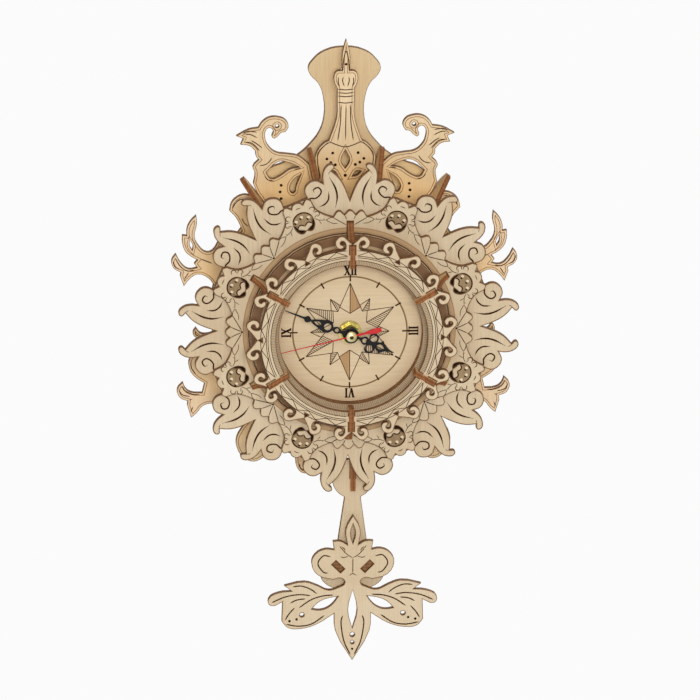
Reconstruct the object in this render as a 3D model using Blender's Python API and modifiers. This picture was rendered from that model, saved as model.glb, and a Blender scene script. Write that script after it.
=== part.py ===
"""Wall clock put together from flat plywood pieces, with a battery movement and a swinging pendulum.

The clock hangs on a wall: X runs to the right, Z up and -Y out into the room. The wall is the plane
Y = 0 and the origin lies on the back of the hanger, below the nail hole. Every flat piece is an outline
about the dial's centre or the pendulum's pivot; angles run clockwise from twelve o'clock, in degrees.
"""

import math

import bmesh
import bpy
from mathutils import Matrix

MM = 0.001

# Sheet, clearances, and the grid on which ornament outlines are drawn
PLY = 3.0 * MM
GAP = 0.3 * MM
SLOT_WIDTH = PLY + 2 * GAP
HALF_SLOT = SLOT_WIDTH / 2
SHEET_SIDE = PLY / 2 + GAP
DRAWING_UNIT = 1.0 * MM
DIAL_DROP = 133.0 * MM

# Depth of each layer's back face from the wall
REAR_PANEL_BACK = 11.0 * MM
FIN_SPAN = 40.1 * MM
FIN_BACK = PLY + GAP
LEAF_BACK = FIN_BACK + FIN_SPAN + GAP
MEDALLION_BACK = LEAF_BACK + PLY + GAP
DIAL_BACK = MEDALLION_BACK + PLY + GAP
REAR_RING_BACK = DIAL_BACK + PLY + GAP
FRONT_RING_BACK = REAR_RING_BACK + PLY + GAP
RIB_HOOK_BACK = FRONT_RING_BACK + PLY + GAP
RIB_BRIDGE = 4.5 * MM
RIB_LIP = 1.2 * MM
BEZEL_BACK = RIB_HOOK_BACK + RIB_BRIDGE + GAP
RIB_FRONT = BEZEL_BACK + PLY + GAP + RIB_LIP
RIB_SEAT = 0.2 * MM
RIB_REAR = LEAF_BACK + RIB_SEAT

# Movement case, built round its cell
CELL_RADIUS = 7.1 * MM
CELL_LENGTH = 50.5 * MM
CELL_CLEARANCE = 0.4 * MM
CELL_STUD_RADIUS = 2.6 * MM
CELL_STUD_LENGTH = 1.2 * MM
CONTACT_SPACE = 1.5 * MM
CASE_WALL = 2.0 * MM
POCKET_LENGTH = CELL_LENGTH + CONTACT_SPACE
POCKET_DEPTH = 2 * CELL_RADIUS + 2 * CELL_CLEARANCE
POCKET_HEIGHT = 2 * CELL_RADIUS + 3 * CELL_CLEARANCE
CASE_SIDE = POCKET_LENGTH + 2 * CASE_WALL
CASE_FLOOR = 1.3 * MM
CASE_FRONT = DIAL_BACK - GAP
CASE_BACK = CASE_FRONT - POCKET_DEPTH - CASE_FLOOR
CELL_DROP = CASE_SIDE / 2 - CASE_WALL - POCKET_HEIGHT / 2
KNOB_R = 6.5 * MM
KNOB_LENGTH = 5.0 * MM
KNOB_GROOVE = 0.6 * MM

# Arbor, tubes, bush, washer and nut: each runs in the next with a gap
ARBOR_R = 0.7 * MM
MINUTE_TUBE_WALL = 0.6 * MM
HOUR_TUBE_WALL = 0.5 * MM
BUSH_WALL = 1.2 * MM
WASHER_WIDTH = 2.8 * MM
NUT_WIDTH = 1.6 * MM
BUSH_PROUD = 0.8 * MM
MINUTE_TUBE_BORE_R = ARBOR_R + GAP
MINUTE_TUBE_R = MINUTE_TUBE_BORE_R + MINUTE_TUBE_WALL
HOUR_TUBE_BORE_R = MINUTE_TUBE_R + GAP
HOUR_TUBE_R = HOUR_TUBE_BORE_R + HOUR_TUBE_WALL
BUSH_BORE_R = HOUR_TUBE_R + GAP
BUSH_R = BUSH_BORE_R + BUSH_WALL
NUT_BORE_R = BUSH_R + GAP
WASHER_R = NUT_BORE_R + WASHER_WIDTH
WASHER_THICKNESS = 0.8 * MM
NUT_R = NUT_BORE_R + NUT_WIDTH
NUT_THICKNESS = 2.5 * MM
WASHER_BACK = DIAL_BACK + PLY + GAP
NUT_BACK = WASHER_BACK + WASHER_THICKNESS + GAP
BUSH_BACK = CASE_FRONT + GAP
BUSH_FRONT = NUT_BACK + NUT_THICKNESS + BUSH_PROUD

# Hands, with the time they are left at
HAND_THICKNESS = 0.5 * MM
HAND_PITCH = 2.0 * MM
HOUR_CLEARANCE = 1.3 * MM
HOUR_LENGTH = 28.3 * MM
MINUTE_LENGTH = 42.7 * MM
SECOND_LENGTH = 43.0 * MM
HOUR_BACK = BUSH_FRONT + HOUR_CLEARANCE
MINUTE_BACK = HOUR_BACK + HAND_PITCH
SECOND_BACK = MINUTE_BACK + HAND_PITCH
SHAFT_BACK = BUSH_BACK + GAP
HUB_CAP_R = 3.3 * MM
HUB_CAP_HEIGHT = 2.0 * MM
HOUR_TURN = 114.4
MINUTE_TURN = 292.3
SECOND_TURN = 257.0

# Radii of the drum, worked outwards from the circle that the hands sweep
SWEEP_R = max(MINUTE_LENGTH, SECOND_LENGTH)
DIAL_RING_BORE_R = SWEEP_R
DIAL_RING_WIDTH = 9.3 * MM
DIAL_RING_R = DIAL_RING_BORE_R + DIAL_RING_WIDTH
RIB_INNER_R = DIAL_RING_R + 2 * GAP
RIB_WEB = 14.3 * MM
RIB_OUTER_R = RIB_INNER_R + RIB_WEB
HOOK_CLEARANCE = 0.5 * MM
RIB_HOOK_R = SWEEP_R + HOOK_CLEARANCE
RIB_SLOT_INNER_R = RIB_INNER_R - GAP
RIB_SLOT_OUTER_R = RIB_OUTER_R + GAP
DIAL_RIM = 6.9 * MM
DIAL_R = RIB_SLOT_INNER_R + DIAL_RIM
SPACER_R = DIAL_R + 2 * GAP
MEDALLION_BORE_R = SPACER_R + GAP
CASE_CLEARANCE = 6.4 * MM
MOVEMENT_BORE_R = CASE_SIDE / math.sqrt(2) + CASE_CLEARANCE
BEZEL_SETBACK = 1.9 * MM
TAB_SHOULDER = 2.6 * MM
BEZEL_BORE_R = RIB_HOOK_R + BEZEL_SETBACK
TAB_INNER_R = BEZEL_BORE_R + TAB_SHOULDER
TAB_LENGTH = 4.0 * MM
TAB_OUTER_R = TAB_INNER_R + TAB_LENGTH
RIB_CREST = 5.4 * MM
RIB_CREST_R = TAB_OUTER_R + RIB_CREST
BEZEL_RIM = 3.0 * MM
BEZEL_RIM_R = TAB_OUTER_R + BEZEL_RIM
SCROLL_RISE = 4.5 * MM
SCROLL_R = BEZEL_RIM_R + SCROLL_RISE
MEDALLION_RISE = 4.8 * MM
MEDALLION_R = RIB_SLOT_OUTER_R + MEDALLION_RISE

# Radii of the fins, and of the back plate that they stand on
FIN_TAB_R = 62.0 * MM
BACK_TAB_LENGTH = 12.0 * MM
CROWN_TAB_LENGTH = 8.0 * MM
SIDE_TAB_LENGTH = 6.0 * MM
BACK_TAB_OUTER_R = FIN_TAB_R + BACK_TAB_LENGTH
CROWN_TAB_OUTER_R = FIN_TAB_R + CROWN_TAB_LENGTH
SIDE_TAB_SHIFT = 7.0 * MM
SIDE_TAB_R = FIN_TAB_R + SIDE_TAB_SHIFT
SIDE_TAB_OUTER_R = SIDE_TAB_R + SIDE_TAB_LENGTH
SIDE_FIN_EDGE = 1.0 * MM
SIDE_FIN_OUTER_R = max(BACK_TAB_OUTER_R, SIDE_TAB_OUTER_R) + SIDE_FIN_EDGE
SIDE_FIN_INSET = 2.0 * MM
SIDE_FIN_INNER_R = FIN_TAB_R - SIDE_FIN_INSET
CROWN_FIN_INSET = 4.0 * MM
CROWN_FIN_INNER_R = FIN_TAB_R - CROWN_FIN_INSET
CROWN_FIN_FOOT = 10.0 * MM
CROWN_FIN_HEAD = 12.0 * MM
FIN_NOTCH_R = SIDE_FIN_OUTER_R + GAP
PANEL_INNER_R = 64.0 * MM
DISC_MARGIN = 6.0 * MM
BACK_DISC_R = BACK_TAB_OUTER_R + DISC_MARGIN
WINDOW_R = 44.0 * MM
NAIL_HOLE_R = 3.6 * MM

# Angles at which pieces repeat
RIB_ANGLES = [60 * k for k in range(6)]
LEAF_ANGLES = [45 * k for k in range(8)]
HALF_LEAF_PITCH = 22.5
INNER_CROWN_ANGLE = 12.0
OUTER_CROWN_ANGLE = 36.0
HORN_ANGLE = 67.5
SPRIG_ANGLE = 112.5
LOBE_ANGLE = 157.5
CROWN_FIN_ANGLES = [-OUTER_CROWN_ANGLE, -INNER_CROWN_ANGLE, INNER_CROWN_ANGLE, OUTER_CROWN_ANGLE]
SIDE_FIN_ANGLES = [-LOBE_ANGLE, -SPRIG_ANGLE, -HORN_ANGLE, HORN_ANGLE, SPRIG_ANGLE, LOBE_ANGLE]

# Pendulum drive under the case, and the rocker that swings in it
DRIVE_BACK = CASE_BACK
DRIVE_FRONT = LEAF_BACK - GAP
DRIVE_TOP = CASE_SIDE / 2 + GAP
DRIVE_HEIGHT = 28.7 * MM
DRIVE_WIDTH = 34.0 * MM
DRIVE_SLOT_WIDTH = 20.0 * MM
DRIVE_SLOT_SPARE = 0.8 * MM
DRIVE_BOTTOM = DRIVE_TOP + DRIVE_HEIGHT
PIVOT_RISE = 6.0 * MM
PIVOT_DROP = DRIVE_BOTTOM - PIVOT_RISE
PIVOT_SIDE = 3.6 * MM
DRIVE_SLOT_RISE = 8.0 * MM
DRIVE_SLOT_TOP = PIVOT_DROP - DRIVE_SLOT_RISE
PIN_R = 1.2 * MM
ROCKER_THICKNESS = 2.0 * MM
ROCKER_HALF_WIDTH = 5.0 * MM
ROCKER_LENGTH = 15.0 * MM
ROCKER_LAP = 6.0 * MM

# Rod, hanger fin and bob, measured down from the pivot
ROD_MIDDLE = (DRIVE_BACK + DRIVE_FRONT) / 2
ROD_BACK = ROD_MIDDLE - PLY / 2
HANGER_CLEARANCE = 0.5 * MM
HANGER_FRONT = LEAF_BACK - HANGER_CLEARANCE
HANGER_REACH = 4.0 * MM
HANGER_BACK = ROD_BACK - HANGER_REACH
LAP_CLEARANCE = 1.0 * MM
HANGER_TOP = ROCKER_LENGTH - ROCKER_LAP + LAP_CLEARANCE
HEAD_DROP = 45.0 * MM
HEAD_R = 12.5 * MM
HANGER_TAIL = 7.0 * MM
HANGER_BOTTOM = HEAD_DROP + HANGER_TAIL
ROD_TOP_HALF = 5.0 * MM
ROD_LOW_HALF = 8.4 * MM
DISC_DROP = 96.5 * MM
DISC_R = 19.0 * MM
DISC_SHOULDER = 15.0 * MM
BOB_STANDOFF = 2.3 * MM
BOB_BACK = ROD_BACK + PLY + BOB_STANDOFF
KEY_LENGTH = 7.0 * MM
KEY_SETBACK = 0.8 * MM
KEY_DEPTH = BOB_BACK + PLY - ROD_BACK - KEY_SETBACK

for leftover in list(bpy.data.objects):
    bpy.data.objects.remove(leftover)

clock = bpy.data.collections.new("plywood_wall_clock")
cutters = bpy.data.collections.new("cutters")
bpy.context.scene.collection.children.link(clock)
bpy.context.scene.collection.children.link(cutters)


# Materials


def finish(name, colour, roughness, metallic=0.0):
    made = bpy.data.materials.new(name)
    made.use_nodes = True
    shader = made.node_tree.nodes["Principled BSDF"]
    shader.inputs["Base Color"].default_value = (*colour, 1.0)
    shader.inputs["Roughness"].default_value = roughness
    shader.inputs["Metallic"].default_value = metallic
    return made


pale_ply = finish("pale plywood", (0.72, 0.58, 0.40), 0.65)
warm_ply = finish("warm plywood", (0.68, 0.50, 0.28), 0.65)
edge_ply = finish("burnt plywood edge", (0.28, 0.13, 0.05), 0.75)
black_paint = finish("black hand paint", (0.01, 0.01, 0.01), 0.35)
red_paint = finish("red hand paint", (0.55, 0.03, 0.03), 0.4)
brass = finish("brass", (0.75, 0.58, 0.20), 0.25, 1.0)
steel = finish("steel", (0.60, 0.60, 0.60), 0.3, 1.0)
black_plastic = finish("black plastic", (0.02, 0.02, 0.02), 0.5)
cell_wrap = finish("cell wrapper", (0.20, 0.22, 0.25), 0.4)


# Outline helpers: a point is (x, y) where the outline is smooth and (x, y, True) at a sharp corner


def at(x, y):
    """A smooth point, in drawing units."""
    return (x * DRAWING_UNIT, y * DRAWING_UNIT)


def tip(x, y):
    """A sharp point, in drawing units."""
    return (x * DRAWING_UNIT, y * DRAWING_UNIT, True)


def corner(x, y):
    """A sharp point, in metres."""
    return (x, y, True)


def polar(angle, radius):
    turn = math.radians(angle)
    return (radius * math.sin(turn), radius * math.cos(turn))


def sharp_polar(angle, radius):
    return corner(*polar(angle, radius))


def beside(angle, radius, aside):
    """The corner at this radius along a spoke, moved clockwise across it by aside."""
    out_x, out_y = polar(angle, 1.0)
    return corner(radius * out_x + aside * out_y, radius * out_y - aside * out_x)


def circle(x, y, radius):
    return [(x, y + radius), (x + radius, y), (x, y - radius), (x - radius, y)]


def round_loop(radius, sides=56):
    return [sharp_polar(360 * k / sides, radius) for k in range(sides)]


def radial_slot(angle, inner, outer):
    """A slot along a spoke for a tab that reaches from the inner to the outer radius."""
    return [
        beside(angle, inner - GAP, HALF_SLOT),
        beside(angle, outer + GAP, HALF_SLOT),
        beside(angle, outer + GAP, -HALF_SLOT),
        beside(angle, inner - GAP, -HALF_SLOT),
    ]


def notched_loop(radius, floor, angles, steps=7):
    """A circle with a square notch down, or up, to the floor radius at each angle."""
    points = []
    pitch = 360 / len(angles)
    edge = math.degrees(HALF_SLOT / radius)
    for angle in angles:
        points.append(beside(angle, floor, -HALF_SLOT))
        points.append(beside(angle, floor, HALF_SLOT))
        for k in range(steps + 1):
            points.append(sharp_polar(angle + edge + (pitch - 2 * edge) * k / steps, radius))
    return points


def mirrored(points):
    return [(-point[0],) + tuple(point[1:]) for point in points]


def both_sides(right):
    """A loop from its right half, listed from the top to the bottom of its axis."""
    return right + [point for point in mirrored(right)[::-1] if point[0] != 0]


def turned(points, angle):
    """The points turned clockwise about the dial's centre."""
    side, up = polar(angle, 1.0)
    return [(p[0] * up + p[1] * side, p[1] * up - p[0] * side) + tuple(p[2:]) for p in points]


def lifted(points, rise):
    return [(point[0], point[1] + rise) + tuple(point[2:]) for point in points]


# Solid helpers


def empty(name, z, parent=None):
    made = bpy.data.objects.new(name, None)
    made.location = (0, 0, z)
    made.parent = parent
    clock.objects.link(made)
    return made


def flat_curve(name, loops, thickness, material, steps):
    curve = bpy.data.curves.new(name, "CURVE")
    curve.dimensions = "2D"
    curve.fill_mode = "BOTH"
    curve.extrude = thickness / 2
    curve.materials.append(material)
    for points in loops:
        loop = curve.splines.new("BEZIER")
        loop.bezier_points.add(len(points) - 1)
        loop.resolution_u = steps
        loop.use_cyclic_u = True
        for place, point in zip(loop.bezier_points, points):
            place.co = (point[0], point[1], 0.0)
            kind = "VECTOR" if len(point) == 3 else "AUTO"
            place.handle_left_type = kind
            place.handle_right_type = kind
    return curve


def plate(name, loops, back, material, parent, thickness=PLY, turn=0.0, drop=0.0, steps=3):
    """A flat piece that faces the room, its back this far from the wall."""
    part = bpy.data.objects.new(name, flat_curve(name, loops, thickness, material, steps))
    part.rotation_euler = (math.radians(90), math.radians(turn), 0)
    part.location = (0, -(back + thickness / 2), -drop)
    part.parent = parent
    clock.objects.link(part)
    return part


def standing_plate(name, loops, angle, parent):
    """A flat piece edge-on to the dial, drawn as (distance from the axis, depth from the wall)."""
    part = bpy.data.objects.new(name, flat_curve(name, loops, PLY, edge_ply, 3))
    side, up = polar(angle, 1.0)
    part.rotation_euler = Matrix(((side, 0, up), (0, -1, 0), (up, 0, -side))).to_euler()
    part.parent = parent
    clock.objects.link(part)


def as_mesh(part):
    """The flat piece as a closed mesh, so that it can be cut or joined."""
    bpy.context.view_layer.update()
    graph = bpy.context.evaluated_depsgraph_get()
    mesh = bpy.data.meshes.new_from_object(part.evaluated_get(graph))
    work = bmesh.new()
    work.from_mesh(mesh)
    bmesh.ops.remove_doubles(work, verts=work.verts, dist=0.001 * MM)
    work.to_mesh(mesh)
    work.free()
    name = part.name
    solid = bpy.data.objects.new(name, mesh)
    solid.parent = part.parent
    solid.matrix_world = part.matrix_world
    clock.objects.link(solid)
    bpy.data.objects.remove(part)
    solid.name = name
    return solid


def box(name, size, place, material, parent):
    mesh = bpy.data.meshes.new(name)
    work = bmesh.new()
    bmesh.ops.create_cube(work, size=1.0)
    bmesh.ops.scale(work, vec=size, verts=work.verts)
    work.to_mesh(mesh)
    work.free()
    mesh.materials.append(material)
    part = bpy.data.objects.new(name, mesh)
    part.location = place
    part.parent = parent
    clock.objects.link(part)
    return part


def lathe(name, profile, material, parent, sides=20):
    """A turned piece from (radius, height) pairs listed from top to bottom."""
    mesh = bpy.data.meshes.new(name)
    mesh.from_pydata([(r, 0, h) for r, h in profile], [(k, k + 1) for k in range(len(profile) - 1)], [])
    mesh.materials.append(material)
    part = bpy.data.objects.new(name, mesh)
    screw = part.modifiers.new("turned", "SCREW")
    screw.steps = sides
    screw.render_steps = sides
    screw.use_merge_vertices = True
    screw.merge_threshold = 0.01 * MM
    part.parent = parent
    clock.objects.link(part)
    return part


def combine(part, tool, operation):
    """Cuts the tool from the part, or joins it on, and puts the tool away with the cutters."""
    change = part.modifiers.new(tool.name, "BOOLEAN")
    change.operation = operation
    change.solver = "EXACT"
    change.object = tool
    tool.hide_render = True
    tool.display_type = "WIRE"
    clock.objects.unlink(tool)
    cutters.objects.link(tool)


dial_axis = empty("dial_axis", -DIAL_DROP)
pendulum_axis = empty("pendulum_axis", -PIVOT_DROP, dial_axis)
pendulum_axis.location.x = PIVOT_SIDE


# Back plate: hanger head, waisted neck and a disc with a window behind the movement


def back_plate():
    right = [
        at(0, 162.5),
        at(12.4, 160),
        at(19.2, 154.4),
        at(21.8, 149.6),
        at(20.2, 145),
        at(15.6, 140),
        at(12.5, 131),
        at(12.2, 119),
        at(15, 110),
        at(20, 103.2),
        at(26.4, 97),
        at(35.9, 91.5),
        at(45.2, 87.8),
        tip(51.6, 81.6),
    ]
    right += [sharp_polar(angle, BACK_DISC_R) for angle in range(42, 180, 8)]
    right.append(corner(0, -BACK_DISC_R))
    nail_x, nail_z = at(0, 146)
    loops = [both_sides(right), round_loop(WINDOW_R, 48), circle(nail_x, nail_z, NAIL_HOLE_R)]
    for angle in CROWN_FIN_ANGLES + SIDE_FIN_ANGLES:
        loops.append(radial_slot(angle, FIN_TAB_R, BACK_TAB_OUTER_R))
    plate("back_plate", loops, 0.0, pale_ply, dial_axis)


# Fins: standing pieces that carry the front of the clock away from the back plate


def fin_outline(inner, foot_r, edge, head_r, leaf_tab, leaf_tab_outer):
    """A fin with a tab into the back plate, a tab into the leaf ring, and the given outer edge."""
    front = FIN_BACK + FIN_SPAN
    return [
        corner(inner, FIN_BACK),
        corner(FIN_TAB_R, FIN_BACK),
        corner(FIN_TAB_R, GAP),
        corner(BACK_TAB_OUTER_R, GAP),
        corner(BACK_TAB_OUTER_R, FIN_BACK),
        corner(foot_r, FIN_BACK),
        *edge,
        corner(head_r, front),
        corner(leaf_tab_outer, front),
        corner(leaf_tab_outer, LEAF_BACK + PLY),
        corner(leaf_tab, LEAF_BACK + PLY),
        corner(leaf_tab, front),
        corner(inner, front),
    ]


def fins():
    nose = lifted([tip(101, -1.5), tip(105.5, 2), tip(105, 6.5), at(93, 19)], REAR_PANEL_BACK)
    foot_r = BACK_TAB_OUTER_R + CROWN_FIN_FOOT
    head_r = CROWN_TAB_OUTER_R + CROWN_FIN_HEAD
    crown = fin_outline(CROWN_FIN_INNER_R, foot_r, nose, head_r, FIN_TAB_R, CROWN_TAB_OUTER_R)
    for number, angle in enumerate(CROWN_FIN_ANGLES, 1):
        standing_plate(f"crown_fin_{number}", [crown], angle, dial_axis)
    edge_r = SIDE_FIN_OUTER_R
    side = fin_outline(SIDE_FIN_INNER_R, edge_r, [], edge_r, SIDE_TAB_R, SIDE_TAB_OUTER_R)
    for number, angle in enumerate(SIDE_FIN_ANGLES, 1):
        standing_plate(f"side_fin_{number}", [side], angle, dial_axis)


# Rear ornament: the spire, a bird each side of it, then horns, sprigs and low lobes


def spire_panel():
    right = [
        tip(0, 170),
        at(2.2, 162),
        tip(2.4, 150.6),
        at(5.6, 150.2),
        at(7.2, 147.2),
        at(6.8, 143),
        tip(5.2, 139.8),
        tip(5.2, 131),
        at(5.4, 122),
        tip(10, 107.6),
        at(13, 106),
        at(18, 98.5),
        beside(INNER_CROWN_ANGLE, 95 * DRAWING_UNIT, -SHEET_SIDE),
        beside(INNER_CROWN_ANGLE, PANEL_INNER_R, -SHEET_SIDE),
        corner(0, PANEL_INNER_R),
    ]
    drop = both_sides([tip(0, 101.7), at(2.6, 95), tip(0, 90.3)])
    leaf = [tip(9.6, 88.4), at(6.8, 88.8), tip(4.2, 85.2), at(7.2, 85.8)]
    loops = [both_sides(right), drop, leaf, mirrored(leaf)]
    plate("spire_panel", loops, REAR_PANEL_BACK, warm_ply, dial_axis)


def rear_pair(name, loops):
    """A panel and its mirror image, either side of the spire."""
    plate(name + "_left", [mirrored(loop) for loop in loops], REAR_PANEL_BACK, warm_ply, dial_axis)
    plate(name + "_right", loops, REAR_PANEL_BACK, warm_ply, dial_axis)


def bird_panels():
    body = [
        beside(INNER_CROWN_ANGLE, PANEL_INNER_R, SHEET_SIDE),
        beside(INNER_CROWN_ANGLE, 95.4 * DRAWING_UNIT, SHEET_SIDE),
        at(28.3, 98.5),
        at(35.1, 99.9),
        at(41.4, 100.9),
        at(45.6, 104.2),
        at(47.9, 109),
        at(47.6, 114.6),
        at(45.4, 116),
        at(43.3, 113.8),
        at(44.2, 110.6),
        tip(42.8, 109.2),
        at(40.4, 110.8),
        at(38.4, 112.9),
        tip(36.1, 113.2),
        at(34.2, 116.4),
        at(35.8, 120.6),
        at(40, 122.6),
        at(45.5, 122.6),
        at(49.9, 119.8),
        tip(52.2, 116.2),
        at(58, 115.2),
        tip(65.4, 111.2),
        tip(61.2, 109.6),
        tip(62.8, 105.8),
        at(57.5, 105),
        tip(53.9, 101.6),
        at(53.6, 98.6),
        tip(51.9, 96.4),
        at(55.5, 92),
        at(54.2, 88.4),
        tip(55.2, 81.6),
        beside(OUTER_CROWN_ANGLE, 92 * DRAWING_UNIT, -SHEET_SIDE),
        beside(OUTER_CROWN_ANGLE, PANEL_INNER_R, -SHEET_SIDE),
    ]
    almond = [
        tip(27, 91.3),
        at(33.5, 94.2),
        at(40, 95),
        tip(47.5, 88.5),
        at(44.6, 84.5),
        at(39.5, 86),
        at(33, 90.4),
    ]
    drop = [tip(26, 87.6), at(31.5, 83), at(33.2, 77.5), at(31, 75.4), at(29.4, 80)]
    eye = circle(*at(41, 117), 1.1 * DRAWING_UNIT)
    rear_pair("bird_panel", [body, almond, drop, eye])


def fin_notch(angle):
    """Corners of the open notch that slides over a side fin, from its clockwise side."""
    return [
        beside(angle, PANEL_INNER_R, HALF_SLOT),
        beside(angle, FIN_NOTCH_R, HALF_SLOT),
        beside(angle, FIN_NOTCH_R, -HALF_SLOT),
        beside(angle, PANEL_INNER_R, -HALF_SLOT),
    ]


def horn_panels():
    body = [
        tip(89.2, 62.5),
        at(92.6, 59),
        at(94.8, 54.2),
        tip(94.9, 50),
        tip(97.6, 50.3),
        at(97.5, 45),
        at(95.6, 40),
        at(92, 36.8),
        tip(88.4, 34.8),
        tip(90.4, 32.4),
        tip(88.6, 30),
        at(93.6, 29.3),
        at(98, 32.6),
        tip(101.4, 38.8),
        at(104, 34.6),
        at(102.6, 29.8),
        tip(98.4, 27.2),
        tip(98.8, 24.8),
        tip(96.5, 18.5),
        at(93.6, 22.4),
        at(88.4, 25.8),
        at(82, 23.4),
        tip(78, 18.2),
        sharp_polar(HORN_ANGLE + 10.5, PANEL_INNER_R),
        *fin_notch(HORN_ANGLE),
        beside(OUTER_CROWN_ANGLE, PANEL_INNER_R, SHEET_SIDE),
        beside(OUTER_CROWN_ANGLE, 93 * DRAWING_UNIT, SHEET_SIDE),
        at(60.4, 75),
        at(65.2, 73.2),
        at(68.2, 69.8),
        tip(69.3, 65),
        at(65.2, 60.4),
        tip(61.6, 52.4),
        at(66.4, 46.4),
        tip(74, 50),
        at(76.6, 45),
        at(79.4, 40.7),
        at(82.6, 39.6),
        at(87, 42.6),
        at(90.2, 49.6),
        at(88.8, 57),
    ]
    hole = [tip(93, 47.4), at(93, 43.6), tip(91.5, 40.8), at(91.2, 43.6)]
    rear_pair("horn_panel", [body, hole])


def sprig_panels():
    body = [
        sharp_polar(SPRIG_ANGLE - 12.5, PANEL_INNER_R),
        tip(74, -9.4),
        at(83.2, -11.4),
        at(86.8, -10.6),
        tip(89.2, -7.4),
        at(91.1, -10.4),
        at(89.8, -13.4),
        at(86, -14.6),
        tip(80.4, -16),
        at(88, -21),
        at(93, -26.6),
        at(93.2, -33),
        at(90.2, -38),
        tip(84, -42.4),
        tip(85.4, -48.4),
        at(92.2, -47.8),
        at(95.4, -45.4),
        tip(97, -41.5),
        at(100.5, -46),
        at(98.6, -51.4),
        tip(94, -53.4),
        tip(94.4, -56),
        tip(92, -63.9),
        at(88.6, -61),
        at(84.6, -56.4),
        at(77, -55.4),
        tip(68, -58),
        sharp_polar(SPRIG_ANGLE + 15.5, PANEL_INNER_R),
        *fin_notch(SPRIG_ANGLE),
    ]
    rear_pair("sprig_panel", [body])


def lobe_panels():
    def out(angle, radius):
        return polar(LOBE_ANGLE + angle, radius * DRAWING_UNIT)

    body = [
        sharp_polar(LOBE_ANGLE - 18.5, PANEL_INNER_R),
        corner(*out(-18.5, 93)),
        out(-17.5, 100.4),
        out(-15.4, 105),
        out(-11.5, 108),
        out(-8, 107.2),
        out(-6, 102.8),
        corner(*out(-4, 94)),
        out(1.5, 91.5),
        out(4.8, 95.5),
        out(6.2, 100.2),
        out(9.4, 103.2),
        out(11.3, 100),
        corner(*out(11.5, 90)),
        sharp_polar(LOBE_ANGLE + 11.5, PANEL_INNER_R),
        *fin_notch(LOBE_ANGLE),
    ]
    rear_pair("lobe_panel", [body])


# Leaf ring: eight pairs of hooked leaves with volutes, drawn out from the ends of the rib slots


def leaf_ring():
    half = [
        tip(0, 11.7),
        at(2.6, 19.3),
        at(6.4, 25.9),
        tip(11.2, 30.3),
        at(9.3, 32.9),
        at(11.6, 34.5),
        at(15, 32.1),
        at(16.5, 27.5),
        tip(16.1, 22.7),
        at(20.8, 24.6),
        at(25.8, 22),
        at(27.2, 17.9),
        tip(25.6, 13.7),
    ]
    right = lifted(half, RIB_SLOT_OUTER_R)
    pair = mirrored(right)[:0:-1] + right
    outline = []
    for angle in LEAF_ANGLES:
        outline += turned(pair, angle)
    loops = [outline, round_loop(MOVEMENT_BORE_R, 48)]
    for angle in RIB_ANGLES:
        loops.append(radial_slot(angle, RIB_INNER_R, RIB_OUTER_R))
    for angle in CROWN_FIN_ANGLES:
        loops.append(radial_slot(angle, FIN_TAB_R, CROWN_TAB_OUTER_R))
    for angle in SIDE_FIN_ANGLES:
        loops.append(radial_slot(angle, SIDE_TAB_R, SIDE_TAB_OUTER_R))
    plate("leaf_ring", loops, LEAF_BACK, pale_ply, dial_axis)


# Medallion ring: eight three-petal fans and eight pierced medallions round the drum


def medallion_ring():
    def out(angle, rise):
        return polar(angle, RIB_SLOT_OUTER_R + rise * DRAWING_UNIT)

    right = [
        corner(*out(2.75, 4)),
        out(5.3, 6.8),
        corner(*out(8.2, 3.4)),
        out(11.8, 5.8),
        out(15.2, 10.3),
        out(17.5, 18.1),
        corner(*out(20, 15.5)),
        out(21.2, 17.5),
    ]
    fan = mirrored(right)[::-1] + [out(0, 6.8)] + right
    outline = []
    for angle in LEAF_ANGLES:
        outline += turned(fan, angle)
    loops = [outline, notched_loop(MEDALLION_BORE_R, RIB_SLOT_OUTER_R, RIB_ANGLES)]
    curl = [
        tip(0.7, -5.0),
        at(2.8, -5.9),
        at(5.0, -4.2),
        at(6.1, -1.2),
        tip(5.8, 1.8),
        at(4.8, -0.6),
        at(4.5, -2.8),
        at(2.6, -3.9),
    ]
    comma = lifted(curl, MEDALLION_R)
    for angle in LEAF_ANGLES:
        loops.append(turned(comma, angle + HALF_LEAF_PITCH))
        loops.append(turned(mirrored(comma), angle + HALF_LEAF_PITCH))
    plate("medallion_ring", loops, MEDALLION_BACK, pale_ply, dial_axis)


# Dial: a spacer ring behind it, the dial plate, and two plain rings stacked in front


def dial_stack():
    spacer = [notched_loop(SPACER_R, RIB_SLOT_INNER_R, RIB_ANGLES), round_loop(MOVEMENT_BORE_R, 48)]
    plate("dial_spacer_ring", spacer, MEDALLION_BACK, pale_ply, dial_axis)
    dial = [notched_loop(DIAL_R, RIB_SLOT_INNER_R, RIB_ANGLES), circle(0, 0, NUT_BORE_R)]
    plate("dial_plate", dial, DIAL_BACK, pale_ply, dial_axis)
    ring = [round_loop(DIAL_RING_R), round_loop(DIAL_RING_BORE_R)]
    plate("dial_ring_rear", ring, REAR_RING_BACK, pale_ply, dial_axis)
    plate("dial_ring_front", ring, FRONT_RING_BACK, pale_ply, dial_axis)


# Main ribs: six standing pieces that hook over the dial rings and hold the bezel segments' tabs


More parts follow.
